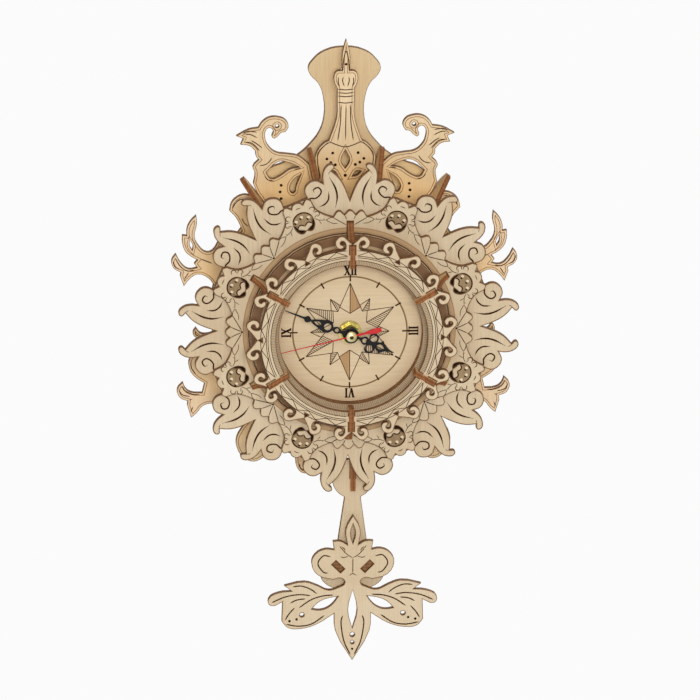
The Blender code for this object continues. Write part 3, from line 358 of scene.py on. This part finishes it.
def dots(name, spots, depth, material, body="clock_body", centre=DIAL_Z, sides=14):
    """Dots, given as x, y and radius in mm: each a low dome of two rings, the upper one smaller. Most are
    burnt marks; some are pale pearls and some painted shade.
    """
    x, y, radius = np.asarray(spots, float).T[..., None] / 1000
    angle = np.linspace(0, 2 * math.pi, sides, endpoint=False)
    grid = []
    for size, lift in ((1.0, SUNK), (1.0, PROUD), (0.6, 2 * PROUD)):
        across, up = radius * size * np.cos(angle), radius * size * np.sin(angle)
        grid.append(np.stack([x + across, np.full((len(x), sides), -depth - lift), centre + y + up], 2))
    corners = np.stack(grid, 1).reshape(-1, 3)
    base = 3 * sides * np.arange(len(x))[:, None, None]
    turn, after = np.arange(sides), (np.arange(sides) + 1) % sides
    low = base + sides * np.arange(2)[:, None] + turn
    next_low = base + sides * np.arange(2)[:, None] + after
    walls = np.stack([low, next_low, next_low + sides, low + sides], 3).reshape(-1, 4).tolist()
    caps = (base[:, 0] + 2 * sides + turn).tolist() + (base[:, 0] + turn[::-1]).tolist()
    across = np.tile(np.repeat([0, 0.2, 0.5], sides), len(x))
    return finish_piece(name, corners, walls + caps, body, material, across)


def line_burn_and_shade(name, dark, side):
    """A burnt line: darkest along its middle, browner at its sides, uneven along its length. The same
    material also serves painted shade.
    """
    material, shader, place, _ = blank(name)
    across = place.node("ShaderNodeAttribute", {"attribute_name": "across"}, output="Fac")
    smoke = place.noise(900, 2)
    middle = 1 - abs(across * 2 - 1)
    shader.inputs["Specular IOR Level"].default_value = 0.1
    feed(shader, Base_Color=(middle + smoke * 0.6 - 0.3).rise(0.05, 0.6).between(side, dark))
    feed(shader, Roughness=smoke * 0.2 + 0.65)
    return material


burnt_line_and_shade = line_burn_and_shade("burnt_line_and_shade", tone(46, 27, 13), tone(100, 66, 36))
# Painted bounce light: the rear panels' plywood is painted brighter and warmer than the front rings'
# plywood, and more golden towards the dial, where light bounces between the layers.
golden_bounce_light, amber_bounce_light = painted_bounce_light(tone(238, 198, 136)), painted_bounce_light(tone(236, 200, 144))
golden_bounce_ply = plywood("golden_bounce_plywood", tone(230, 205, 167), tone(215, 188, 147), marks=golden_bounce_light)
warm_bounce_ply = plywood("warm_plywood", tone(232, 207, 175), tone(219, 193, 158), marks=amber_bounce_light)
panel_line = scorch_and_shade_strip("panel_line", tone(150, 104, 60), tone(116, 76, 40), (0.0, 1.0))
for panel in PANELS:
    clad(panel, warm_bounce_ply if panel.startswith(("horn", "sprig")) else golden_bounce_ply)
    border(panel, RIM, 0.0004, rim_scorch_and_shade)
    border(panel, 0.0013, 0.0004, panel_line, name="outline")

spire_lines = [[(0.2, 130), (0, 107.4)], [(-10, 107), (-5, 104.8), (0, 103.5), (5, 104.8), (10, 107)]]
spire_lines += [[(-4.9, z), (0, z - 0.5), (4.9, z)] for z in (139.2, 137.1, 135.0, 131.1)]
spire_lines += [[(-2, 149.9), (-1.4, 157.7), (0, 162.5), (1.4, 157.7), (2, 149.9)]]
spire_lines += both([
    [(2.75, 129.8), (3.2, 118), (4.7, 107.4)],
    [(4.4, 146.7), (4.6, 143.4), (3.7, 140.8)],
    [(1.6, 146.9), (2.0, 144.2), (0.9, 140.7)],
    [(10, 106.7), (15.1, 101.9), (16.8, 97), (15.2, 83.4)],
])
engraved("spire_flutes", [smooth(p) for p in spire_lines], 0.6, REAR_FACE, burnt_line_and_shade)
spire_spots = [(0, 154.5, 0.8), (0, 85.9, 1.0)]
spire_beads = ((7.6, 99.8), (11.1, 96.2), (8.7, 93.9), (6, 92.5))
spire_spots += [(s * x, z, 0.9) for x, z in spire_beads for s in (1, -1)]
dots("spire_dots", spire_spots, REAR_FACE, burnt_line_and_shade)

bird_lines = both([
    [(51.4, 92.7), (48, 93.3), (45.5, 95.2), (43.8, 97.8)],
    [(60.4, 111.7), (57.6, 112.2), (52.8, 110)],
    [(56.7, 108.4), (53.6, 106.6), (49.8, 103.5)],
    [(59.9, 107.5), (55.7, 106.4), (51.4, 102)],
    [(61.6, 112.6), (58.4, 114), (52.8, 113.4)],
    [(48.4, 86.2), (46.2, 83.8), (42.8, 83.1)],
    [(30.6, 90.1), (28, 90.4), (25.8, 90.5)],
])
engraved("bird_feathers", [smooth(p) for p in bird_lines], 0.6, REAR_FACE, burnt_line_and_shade)
bird_spots = [(s * x, z, 0.9) for x, z in ((38.4, 80.3), (39, 76.2), (38.4, 72.1)) for s in (1, -1)]
dots("bird_dots", bird_spots, REAR_FACE, burnt_line_and_shade)

horn_lines = both([
    [(86.5, 35.4), (79.6, 32.5)],
    [(101.8, 36.2), (98.7, 31), (94.6, 28.1), (90.2, 28.5)],
    [(103.2, 34.6), (101.9, 30.9), (99, 29)],
    [(93.6, 27.1), (96.4, 22.7)],
    [(97.5, -43.6), (95.8, -46.8), (91, -49.2), (86.8, -49.5)],
    [(99.6, -45.6), (97.5, -49.3), (92.7, -50.6)],
    [(90.9, -57), (92.4, -60.6)],
    [(93.2, -53), (91.2, -52.2)],
    [(92.2, -28), (91.9, -32.6), (89.2, -36.6)],
    [(89.6, -9), (89.4, -11.6), (87.2, -13)],
    [(67.6, 66.2), (66.2, 69), (63.6, 71.6), (59, 72.6)],
    [(62, 60.4), (60.4, 57.4), (58, 55)],
    [(58.8, -76.6), (58.3, -81.2), (56.4, -84.8)],
    [(60.8, -88), (59.1, -86.6), (56.9, -88)],
    [(26.4, -94), (25.8, -96.8), (23.6, -98.6)],
])
engraved("horn_and_sprig_veins", [smooth(p) for p in horn_lines], 0.6, REAR_FACE, burnt_line_and_shade)


# Leaf ring
# One plywood ring of eight hooked leaf pairs, slotted for the ribs and the fins' front tabs.
# Each leaf has a burnt midrib, an inner curl, a volute at its foot and an eye in its hook.

LEAF_FACE = front("leaf_ring")
EIGHTHS = range(0, 360, 45)
PALE, DEEP = tone(210, 192, 162), tone(198, 176, 144)
pale_ply = plywood("pale_plywood", PALE, DEEP)
clad("leaf_ring", pale_ply)
# This wide rim strip is partly painted edge shade.
border("leaf_ring", RIM, 0.0007, rim_scorch_and_shade)
vein = [(12.6, 94.2), (8.9, 87.6), (7.6, 81.6), (8.6, 75)]
curls = [
    [(18.4, 75.7), (15, 77.3), (12.8, 80.4), (12.7, 85.2)],
    [(26.4, 79.7), (23.4, 81), (20.4, 81.1), (17.9, 83.2), (17.2, 85.7), (19.1, 87.7), (21.8, 86.4),
     (21.2, 84.4)],
    [(11.5, 97.6), (12.4, 97), (13, 95.6)],
]
veins = [turned(path, angle) for angle in EIGHTHS for path in both([smooth(vein)])]
engraved("leaf_veins", veins, 1.15, LEAF_FACE, burnt_line_and_shade, taper=7)
curls = [turned(path, angle) for angle in EIGHTHS for path in both([smooth(curl) for curl in curls])]
engraved("leaf_curls", curls, 0.95, LEAF_FACE, burnt_line_and_shade, taper=3)


# Medallion ring
# A second ring glued on the leaf ring: three-petal fans in front of the leaf pairs, and pierced medallions
# between them. Rays, vines, petals, pearls and a brown inner rim are burnt in; the shadows beside the
# pearls and the shade in the medallions' holes are painted.

MEDALLION_FACE, MEDALLION_RADIUS = front("medallion_ring"), 72.3


def ring_band(radius, inner, outer, soft=0.15):
    """1 between two radii, with soft sides."""
    return radius.rise(inner - soft, inner + soft) * (1 - radius.rise(outer - soft, outer + soft))


def smoked_rim(place, slope, face):
    """A smooth brown band burnt round the ring's inner rim, darker along both of its sides."""
    radius, _ = polar(place)
    sides = ring_band(radius, 60.9, 61.4) + ring_band(radius, 63.2, 63.8)
    band = ring_band(radius, 60.9, 63.8) * 0.6 + sides * 0.35
    return (band * slope.across((0, -1, 0)).rise(0.5, 0.8)).between(face, tone(160, 120, 74))


clad("medallion_ring", plywood("medallion_plywood", PALE, DEEP, marks=smoked_rim))
border("medallion_ring", RIM, 0.00055, rim_scorch_and_shade)
# Painted shade: dark patches on the leaf ring behind the medallions' holes, so that the holes look dark.
painted_hole_shade = line_burn_and_shade("painted_hole_shade", tone(40, 25, 14), tone(58, 38, 22))
MEDALLIONS = [angle + 22.5 for angle in EIGHTHS]
dots("painted_hole_shade_patches", [(*turned([(0, 72)], angle)[0], 7) for angle in MEDALLIONS], LEAF_FACE, painted_hole_shade, sides=32)
# The ribs at twelve and six o'clock pass through their fans, so the rays start further out there.
whole_rays = [[(0.4, 64.4), (1.3, 67), (3.3, 71.2)], [(0.6, 64.3), (4.6, 66.6), (10.2, 69.9)]]
cut_rays = [[(2, 68.4), (3.3, 71.2)], [(2.2, 65.3), (4.6, 66.6), (10.2, 69.9)]]
ribbed = (0, 180)
clear = [angle for angle in EIGHTHS if angle not in ribbed]
fan_rays = [turned(smooth(path), angle) for angle in clear for path in both(whole_rays)]
fan_rays += [turned(smooth(path), angle) for angle in ribbed for path in both(cut_rays)]
engraved("fan_rays", fan_rays, 0.5, MEDALLION_FACE, burnt_line_and_shade)
fan_roots = [(*turned([(0, 64.3)], angle)[0], 0.6) for angle in clear]
dots("fan_roots", fan_roots, MEDALLION_FACE, burnt_line_and_shade)
vine = [
    [(9.6, 69.9), (11.9, 69.9), (14.1, 68.6), (12.8, 67.5), (10.2, 66.4), (7.2, 66.3)],
    [(14.1, 68.6), (18.7, 68.6), (21.7, 69.9)],
    [(18.7, 68.7), (17.9, 67.3), (16.8, 65.8)],
    [(15.3, 69.9), (16, 68.6)],
    [(19.4, 72.2), (21.7, 69.9)],
]
vines = [turned(smooth(path), angle) for angle in EIGHTHS for path in both(vine)]
engraved("vine_strokes", vines, 0.4, MEDALLION_FACE, burnt_line_and_shade)


def arc(radius, start, end, steps):
    """Part of a circle, its angles counted clockwise from twelve o'clock."""
    angle = np.radians(np.linspace(start, end, steps))
    return np.stack([radius * np.sin(angle), radius * np.cos(angle)], 1)


def shade(name, outlines, depth, material):
    """Flat shaded facets: each outline in mm is carried from just under the face to as much over it."""
    corners, faces, count = [], [], 0
    for outline in outlines:
        flat, sides = np.asarray(outline, float) / 1000, len(outline)
        for lift in (SUNK, -SUNK):
            corners.append(np.stack([flat[:, 0], np.full(sides, -depth - lift), flat[:, 1] + DIAL_Z], 1))
        low = count + np.arange(sides)
        after = count + (np.arange(sides) + 1) % sides
        faces += np.stack([low, after, after + sides, low + sides], 1).tolist()
        faces += [(low + sides).tolist(), low[::-1].tolist()]
        count += 2 * sides
    return finish_piece(name, np.concatenate(corners), faces, "clock_body", material)


smoked = plywood("smoked_plywood", tone(158, 134, 100), tone(134, 110, 80))
brow = [(0, -2.3), (0.9, -1.2), (2.3, -0.5), (3.7, -0.9), (4.4, -2.2)]
brow_right, brow_left = both([smooth(brow)])
middle = (0, MEDALLION_RADIUS)
moon = np.concatenate([brow_left[:0:-1], brow_right, arc(6.2, 78, -78, 28)]) + middle
shade("medallion_moons", [turned(moon, angle) for angle in MEDALLIONS], MEDALLION_FACE, smoked)
brows = [turned(path + middle, angle) for angle in MEDALLIONS for path in (brow_right, brow_left)]
engraved("medallion_brows", brows, 0.8, MEDALLION_FACE, burnt_line_and_shade, taper=1)
pearl = plywood("pearl_plywood", tone(226, 208, 178), tone(214, 194, 160))
beads = [(-3.9, 74.6), (0, 76.2), (3.9, 74.6)]
pearls = [(*turned([bead], angle)[0], 0.95) for angle in MEDALLIONS for bead in beads]
# Painted shadows: dark dots peeking out below and left of each pearl.
pearl_shadows = [(x - 0.5, y - 0.8, 0.8) for x, y, _ in pearls]
dots("medallion_pearls", pearls, MEDALLION_FACE - SUNK, pearl)
dots("medallion_pearl_shadows", pearl_shadows, MEDALLION_FACE - SUNK / 2, burnt_line_and_shade)
rims = [turned(arc(6.4, -88, 88, 30) + middle, angle) for angle in MEDALLIONS]
engraved("medallion_rims", rims, 0.9, MEDALLION_FACE, burnt_line_and_shade, taper=4)


def petal(angle):
    """A stroke round the rim of one petal of the frill, seen from the medallion's middle at this angle."""
    rim = smooth([(-1.5, 8.4), (-1.3, 10.4), (0, 11.1), (1.3, 10.4), (1.5, 8.4)])
    return turned(rim, angle) + middle


frills = [turned(petal(place), angle) for angle in MEDALLIONS for place in (-76, -52, 52, 76)]
frills += [turned(arc(9.6, -11, 11, 9) + middle, angle) for angle in MEDALLIONS]
engraved("frill_petals", frills, 0.5, MEDALLION_FACE, burnt_line_and_shade)


# Dial
# A spacer ring behind, then the dial plate with its roman hours, minute circle and compass star,
# and two plain rings stacked in front of it that make the well for the hands.

DIAL_FACE = front("dial_plate")
HATCH = tone(112, 82, 48)


def ring_hatch(place, slope, face):
    """A brown band of fine radial strokes round the bore of the dial's rings."""
    radius, angle = polar(place)
    strokes = (angle * 260).math("SINE").rise(-0.5, 0.6)
    band = ring_band(radius, 43.2, 46.4) * (strokes * 0.4 + 0.35)
    return (band * slope.across((0, -1, 0)).rise(0.5, 0.8)).between(face, HATCH)


clad("dial_spacer_ring", pale_ply)
hatched_ply = plywood("hatched_plywood", PALE, DEEP, marks=ring_hatch)
for node in ("dial_ring_rear", "dial_ring_front"):
    clad(node, hatched_ply)
for node in ("dial_spacer_ring", "dial_ring_rear", "dial_ring_front"):
    border(node, RIM, 0.0004, rim_scorch_and_shade)


def dial_rim_band_and_shade(place, slope, face):
    """A broad dark brown band round the dial's edge, seen behind the bezel's scrolls, and painted shade: a
    soft brown darkening that grows towards the rings, where they shade the dial."""
    radius, _ = polar(place)
    # Painted shade of the rings on the dial's outer part.
    face = (radius.rise(35, 45) * 0.3).between(face, tone(160, 120, 78))
    band = radius.rise(53.6, 54.4) * (1 - radius.rise(58.9, 59.3))
    return (band * 0.85).between(face, tone(108, 70, 38))


DIAL_PALE, DIAL_DEEP = tone(219, 197, 163), tone(207, 184, 149)
dial_ply = plywood("dial_plywood", DIAL_PALE, DIAL_DEEP, grain=(0.03, 1, 1), marks=dial_rim_band_and_shade)
clad("dial_plate", dial_ply)
border("dial_plate", RIM, 0.0004, rim_scorch_and_shade)
grey_line = line_burn_and_shade("grey_burn", tone(124, 98, 64), tone(162, 134, 96))
SIXTHS, TWELFTHS = range(0, 360, 60), range(0, 360, 30)
engraved("minute_circle", [arc(34.2, 0, 360, 120)], 1.0, DIAL_FACE, grey_line, taper=0)
ticks = [turned(smooth([(0, 31.3), (0, 35.1)], 3), angle) for angle in TWELFTHS]
engraved("hour_ticks", ticks, 0.95, DIAL_FACE, burnt_line_and_shade, taper=0, proud=6e-5)


def letter(strokes, shift):
    """Strokes of a numeral set side by side, each a straight line between two points."""
    return [(smooth(np.array(ends, float) + (shift, 0), 3), width) for *ends, width in strokes]


FOOT, HEAD = 35.1, 41.0
ONE = [((0, FOOT), (0, HEAD), 1.15), ((-0.85, FOOT + 0.25), (0.85, FOOT + 0.25), 0.6)]
ONE += [((-0.85, HEAD - 0.25), (0.85, HEAD - 0.25), 0.6)]
TEN = [((-1.3, HEAD), (1.3, FOOT), 1.3), ((1.25, HEAD), (-1.25, FOOT), 0.7)]
TEN += [((s * 1.3 - 0.8, z), (s * 1.3 + 0.8, z), 0.6) for s in (-1, 1) for z in (FOOT + 0.25, HEAD - 0.25)]
FIVE = [((-1.3, HEAD), (0.1, FOOT), 1.3), ((1.25, HEAD), (0.05, FOOT), 0.7)]
FIVE += [((s * 1.3 - 0.8, HEAD - 0.25), (s * 1.3 + 0.8, HEAD - 0.25), 0.6) for s in (-1, 1)]
numerals = {
    0: letter(TEN, -1.9) + letter(ONE, 1.2) + letter(ONE, 3.0),
    90: letter(ONE, -1.9) + letter(ONE, 0) + letter(ONE, 1.9),
    180: letter(FIVE, -1.1) + letter(ONE, 1.9),
    270: letter(ONE, -2.0) + letter(TEN, 0.9),
}
ink = line_burn_and_shade("numeral_burn", tone(36, 16, 11), tone(58, 30, 20))
for angle, strokes in numerals.items():
    for width in (1.3, 1.15, 0.7, 0.6):
        group = [turned(path, angle) for path, size in strokes if size == width]
        if group:
            label = f"hour_mark_{angle}_{round(width * 100)}"
            engraved(label, group, width, DIAL_FACE, ink, taper=0, proud=4e-5 + width * 1e-5)


tan = plywood("star_tan", tone(188, 150, 106), tone(166, 128, 87), grain=(1, 1, 0.05))
LONG_TIP, LONG_SIDE, LONG_FOOT = (0, 30.2), (6.2, 15.4), (0, 11.4)
SHORT_TIP, SHORT_SIDE, SHORT_FOOT = (0, 23.6), (3.1, 17.2), (0, 14.6)
left_side = (-LONG_SIDE[0], LONG_SIDE[1])
star = [[LONG_TIP, LONG_SIDE], [LONG_SIDE, LONG_FOOT], [LONG_FOOT, left_side], [left_side, LONG_TIP]]
star_lines = [turned(smooth(line, 3), a) for a in SIXTHS for line in star + [[LONG_TIP, LONG_FOOT]]]
left_side = (-SHORT_SIDE[0], SHORT_SIDE[1])
short = [[SHORT_TIP, SHORT_SIDE], [SHORT_TIP, left_side], [SHORT_TIP, SHORT_FOOT]]
short += [[SHORT_FOOT, SHORT_SIDE], [SHORT_FOOT, left_side]]
star_lines += [turned(smooth(line, 3), a + 30) for a in SIXTHS for line in short]
engraved("star_outline", star_lines, 0.46, DIAL_FACE, burnt_line_and_shade, taper=0, proud=5e-5)
facets = [turned([LONG_FOOT, LONG_SIDE, LONG_TIP], a) for a in (0, 180)]
shade("star_facets", facets, DIAL_FACE, tan)


def hatch(tip, side, foot, lines):
    """Parallel strokes that fill the triangle between a star point's tip, side and foot."""
    tip, side, foot = (np.array(p, float) for p in (tip, side, foot))
    share = np.linspace(0, 1, lines + 2)[1:-1, None]
    return [np.stack([a, b]) for a, b in zip(tip + (foot - tip) * share, tip + (side - tip) * share)]


long_hatch = hatch(LONG_TIP, LONG_SIDE, LONG_FOOT, 13)
short_hatch = hatch(SHORT_TIP, SHORT_SIDE, SHORT_FOOT, 6)
hatching = [turned(smooth(p, 3), a) for a in (60, 120, 240, 300) for p in long_hatch]
hatching += [turned(smooth(p, 3), a + 30) for a in SIXTHS for p in short_hatch]
engraved("star_hatching", hatching, 0.4, DIAL_FACE, burnt_line_and_shade, taper=0)


# Main ribs
# Six standing plywood pieces that hook over the dial rings and hold the bezel.
# Their reddish cut edges show as short bars across the bezel.

for number, angle in enumerate(SIXTHS, 1):
    standing_ply(f"main_rib_{number}", angle)


# Bezel
# Six segments between the ribs, with facing scrolls on their outer edges. The laser has burnt a finely
# hatched inner rim, two rows of lines and a zigzag between them.

BEZEL_FACE = front("bezel_segment_1")


def bezel_hatch(place, slope, face):
    """Fine radial strokes round the bezel's bore."""
    radius, angle = polar(place)
    strokes = (angle * 300).math("SINE").rise(-0.5, 0.6)
    band = ring_band(radius, 45.6, 48.2) * (strokes * 0.55 + 0.25)
    return (band * slope.across((0, -1, 0)).rise(0.5, 0.8)).between(face, HATCH)


bezel_ply = plywood("bezel_plywood", PALE, DEEP, marks=bezel_hatch)
for number in range(1, 7):
    clad(f"bezel_segment_{number}", bezel_ply)
    border(f"bezel_segment_{number}", RIM, 0.00055, rim_scorch_and_shade)
SPAN = 27.3
lines = [turned(arc(r, -SPAN, SPAN, 30), a + 30) for a in SIXTHS for r in (48.4, 50.1, 51.1, 54.5)]
engraved("bezel_lines", lines, 0.42, BEZEL_FACE, burnt_line_and_shade, taper=0.5)
ZIG_LOW, ZIG_HIGH, ZIGS = 51.3, 54.3, 8
low, high = (arc(radius, -26.5, 26.5, ZIGS + 1) for radius in (ZIG_LOW, ZIG_HIGH))
bends = np.where((np.arange(ZIGS + 1) % 2)[:, None], high, low)
zigzag = [turned(smooth(bends[k : k + 2], 3), a + 30) for a in SIXTHS for k in range(ZIGS)]
engraved("bezel_zigzag", zigzag, 0.42, BEZEL_FACE, burnt_line_and_shade, taper=0)


# Movement
# A bought quartz movement behind the dial: a black moulded case with its cell and setting knob, and
# the pendulum drive under it. The bush, washer and nut that clamp it to the dial are plated brass.


def moulded(name, dark, light):
    """Black moulded plastic with a fine spark-eroded texture and faint scuffs."""
    material, shader, place, _ = blank(name)
    grit, scuff = place.noise(5200, 1), place.noise(180, 4)
    feed(shader, Base_Color=(scuff.rise(0.45, 0.75) * 0.6 + grit * 0.3).between(dark, light))
    feed(shader, Roughness=scuff * 0.25 + 0.32, Normal=bumped(grit, 0.25, 0.0002))
    return material


def plated(name, bright, dull, marks=None):
    """Bright plated metal with turning marks and a little tarnish."""
    material, shader, place, _ = blank(name)
    shader.inputs["Metallic"].default_value = 1.0
    tarnish, turning = place.noise(260, 3), place.noise(4200, 1, (1, 0.05, 1))
    face = tarnish.rise(0.35, 0.75).between(bright, dull)
    feed(shader, Base_Color=marks(place, face) if marks else face)
    feed(shader, Roughness=tarnish * 0.2 + turning * 0.12 + 0.14, Normal=bumped(turning, 0.08, 0.0001))
    return material


black_case = moulded("black_moulding", tone(22, 22, 24), tone(46, 46, 48))
for node in ("movement_case", "pendulum_drive", "setting_knob", "pendulum_rocker"):
    clad(node, black_case)
brass = plated("brass_plate", tone(214, 200, 128), tone(158, 142, 70))
for node in ("threaded_bush", "dial_washer", "dial_nut"):
    clad(node, brass)
clad("rocker_pin", plated("steel_pin", tone(200, 202, 206), tone(150, 152, 156)))


def cell_wrapper():
    """A printed film sleeve, dark with a copper band from a share of the cell's length on."""
    material, shader, place, _ = blank("cell_sleeve")
    low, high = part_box("battery_cell")
    along = (place.across((1, 0, 0)) - low.x) * (1 / (high.x - low.x))
    crease = place.noise(900, 2, (0.1, 1, 1))
    band = along.rise(0.685, 0.69)
    feed(shader, Base_Color=(band + crease * 0.05).between(tone(40, 44, 52), tone(190, 128, 60)))
    feed(shader, Roughness=crease * 0.2 + 0.28)
    return material


clad("battery_cell", cell_wrapper())


# Hands
# Thin stamped metal hands pressed on their tubes: black hour and minute hands, a red second hand.
# A small turned brass cap closes the hub.


def enamel(name, colour, worn):
    """Sprayed satin paint, slightly uneven."""
    material, shader, place, _ = blank(name)
    mist, peel = place.noise(420, 3), place.noise(2600, 1)
    shader.inputs["Specular IOR Level"].default_value = 0.2
    feed(shader, Base_Color=(mist.rise(0.4, 0.8) * 0.6).between(colour, worn))
    feed(shader, Roughness=mist * 0.2 + 0.3, Normal=bumped(peel, 0.06, 0.0001))
    return material


black_enamel = enamel("black_enamel", tone(10, 9, 9), tone(28, 26, 26))
clad("hour_hand", black_enamel)
clad("minute_hand", black_enamel)
clad("second_hand", enamel("red_enamel", tone(192, 40, 44), tone(206, 68, 66)))


def dimple(place, face):
    """A dark punched dimple in the middle of the cap, by distance from the hands' axis."""
    radius, _ = polar(place)
    return (1 - radius.rise(0.9, 1.5)).between(face, tone(58, 48, 18))


clad("hub_cap", plated("cap_brass", tone(232, 220, 178), tone(190, 174, 116), dimple))


# Pendulum
# A plywood rod with a round head hangs from a standing fin, and carries a leaf ornament on two keys.
# The ornament's veins and dots are burnt in.

BOB_FACE, BOB_Z, BOB_SIDE = 0.04535, -0.2805, (3.6, 0)
clad("pendulum_rod", pale_ply)
border("pendulum_rod", RIM, 0.0004, rim_scorch_and_shade, "pendulum")
clad("bob_ornament", pale_ply)
border("bob_ornament", RIM, 0.00045, rim_scorch_and_shade, "pendulum")
standing_ply("hanger_fin", 0)
for node in ("bob_key_left", "bob_key_right"):
    clad(node, plywood(f"{node}_ply", tone(96, 58, 32), tone(64, 37, 19), (0, 0, 1), (0.05, 1, 1)))
bob_lines = both([
    [(-36.3, -14.5), (-30.9, -14.2), (-25.5, -16.3), (-21.6, -19.2)],
    [(-49, -24.4), (-40.9, -20.9), (-32.4, -19.6), (-25.5, -20.3)],
    [(-37.8, -25), (-33.9, -23), (-28.5, -22.3)],
    [(-32.3, -27.9), (-25.5, -23.2), (-18.5, -20.8), (-11.6, -20.2)],
    [(-40.8, -35.8), (-38.5, -31.8), (-35, -27.8)],
    [(-40.3, -38.3), (-32.2, -39.6), (-24.5, -38.2), (-16.9, -33)],
    [(-5.9, -33.2), (-6.9, -38.1), (-5.1, -49.5), (-1.1, -58.5)],
    [(-13.4, 4.1), (-18, 4.6), (-21.1, -0.2), (-17.9, -5.5), (-14.8, -6.3)],
])
bob_lines = [smooth(p) + BOB_SIDE for p in bob_lines]
engraved("bob_veins", bob_lines, 0.8, BOB_FACE, burnt_line_and_shade, "pendulum", BOB_Z)
sprout = both([
    [(0, 3.1), (-2.7, 4.7), (-5, 6.8), (-6.9, 9.2), (-8.3, 11)],
    [(-2.6, 4.4), (-4, 3.7), (-5.9, 3.4), (-7.8, 4.2)],
    [(-4.8, 6.9), (-5, 8.5), (-6.1, 9.7), (-7, 10.6)],
])
sprout += [[(0, 3.2), (0, -6.9)], [(-2.3, -8.2), (0, -6.9), (2.3, -8.2)]]
sprout = [smooth(p) + BOB_SIDE for p in sprout]
engraved("bob_sprout", sprout, 0.5, BOB_FACE, burnt_line_and_shade, "pendulum", BOB_Z)
bob_spots = [(0, -54.7, 0.75)]
bob_spots += [(s * x, z, 0.8) for x, z in ((33.8, -35.2), (38.1, -36.3)) for s in (1, -1)]
bob_spots = [(x + BOB_SIDE[0], z, size) for x, z, size in bob_spots]
dots("bob_dots", bob_spots, BOB_FACE, burnt_line_and_shade, "pendulum", BOB_Z)


# Studio
# A pale floor well below the clock, broad soft lights from the front, from above and from behind,
# and the camera in front, above and a little to the left.

WHITE = tone(250, 250, 250)


def seen(start):
    """1 for what the camera sees directly, in a reflection or through glass."""
    paths = start.node("ShaderNodeLightPath").socket.node.outputs
    names = ("Is Camera Ray", "Is Glossy Ray", "Is Transmission Ray")
    direct, mirrored, through = (Value(start.tree, paths[name]) for name in names)
    return direct.math("MAXIMUM", mirrored).math("MAXIMUM", through)


def floor_sheet(name, size, height, count=9):
    """A level sheet: a grid of x and y at one height."""
    line = np.linspace(-size, size, count)
    x, y = np.meshgrid(line, line)
    corners = np.stack([x, y, np.full_like(x, height)], 2).reshape(-1, 3)
    start = (np.arange(count - 1)[:, None] * count + np.arange(count - 1)).reshape(-1, 1)
    mesh = bpy.data.meshes.new(name)
    mesh.from_pydata(corners.tolist(), [], (start + [0, 1, count + 1, count]).tolist())
    sheet = bpy.data.objects.new(name, mesh)
    bpy.context.scene.collection.objects.link(sheet)
    return sheet


floor = floor_sheet("studio_floor", size=16.0, height=-1.5)
material, shader, place, _ = blank("studio_paper")
fleck = place.noise(40, 2)
feed(shader, Base_Color=fleck.between(tone(244, 244, 243), tone(249, 249, 249)))
shader.inputs["Roughness"].default_value = 0.9
glow = fleck.node("ShaderNodeEmission", {}, {"Color": WHITE, "Strength": 1.02})
lit = Value(fleck.tree, shader.outputs["BSDF"])
mixed = fleck.node("ShaderNodeMixShader", {}, {0: seen(fleck) * 0.96, 1: lit, 2: glow})
fleck.tree.links.new(material.node_tree.nodes["Material Output"].inputs["Surface"], mixed.socket)
floor.data.materials.append(material)

world = bpy.data.worlds.new("studio")
world.use_nodes = True
bpy.context.scene.world = world
sky = Value(world.node_tree)
dome = sky.node("ShaderNodeBackground", {}, {"Color": (0.97, 0.985, 1.0, 1.0), "Strength": 0.36})
paper = sky.node("ShaderNodeBackground", {}, {"Color": WHITE, "Strength": 1.0})
both_skies = sky.node("ShaderNodeMixShader", {}, {0: seen(sky), 1: dome, 2: paper})
world.node_tree.links.new(world.node_tree.nodes["World Output"].inputs["Surface"], both_skies.socket)


def soft_lamp(name, towards, strength, spread, colour):
    """A broad soft light that shines from a direction, as a large soft box far away does."""
    lamp = bpy.data.lights.new(name, "SUN")
    lamp.energy, lamp.angle, lamp.color = strength, math.radians(spread), colour
    holder = bpy.data.objects.new(name, lamp)
    holder.rotation_mode = "QUATERNION"
    holder.rotation_quaternion = Vector(towards).to_track_quat("Z", "Y")
    bpy.context.scene.collection.objects.link(holder)


soft_lamp("key_light", (0.0, -1.0, 0.3), 1.75, 26, (1.0, 0.985, 0.96))
soft_lamp("top_light", (-0.1, -0.6, 1.0), 0.35, 45, (1.0, 0.98, 0.95))
soft_lamp("rear_light", (0.3, 1.0, 0.5), 1.1, 60, (1.0, 0.99, 0.98))

AZIMUTH, ELEVATION, LEAN = (math.radians(angle) for angle in (-5.13, 16.68, 0.45))
DISTANCE, AIM_RIGHT, AIM_UP = 5.0, 0.00035, -0.01182
level = math.cos(ELEVATION)
back = Vector((math.sin(AZIMUTH) * level, -math.cos(AZIMUTH) * level, math.sin(ELEVATION)))
turn = (-back).to_track_quat("-Z", "Y").to_matrix() @ Matrix.Rotation(LEAN, 3, "Z")
aim = Vector((0, -MEDALLION_FACE, DIAL_Z)) + turn.col[0] * AIM_RIGHT + turn.col[1] * AIM_UP
lens = bpy.data.cameras.new("camera")
lens.lens, lens.sensor_width, lens.clip_end = 431.1, 36.0, 200.0
camera = bpy.data.objects.new("camera", lens)
camera.rotation_mode = "QUATERNION"
camera.location, camera.rotation_quaternion = aim + back * DISTANCE, turn.to_quaternion()
bpy.context.scene.collection.objects.link(camera)
bpy.context.scene.camera = camera
bpy.context.scene.view_settings.view_transform = "Standard"
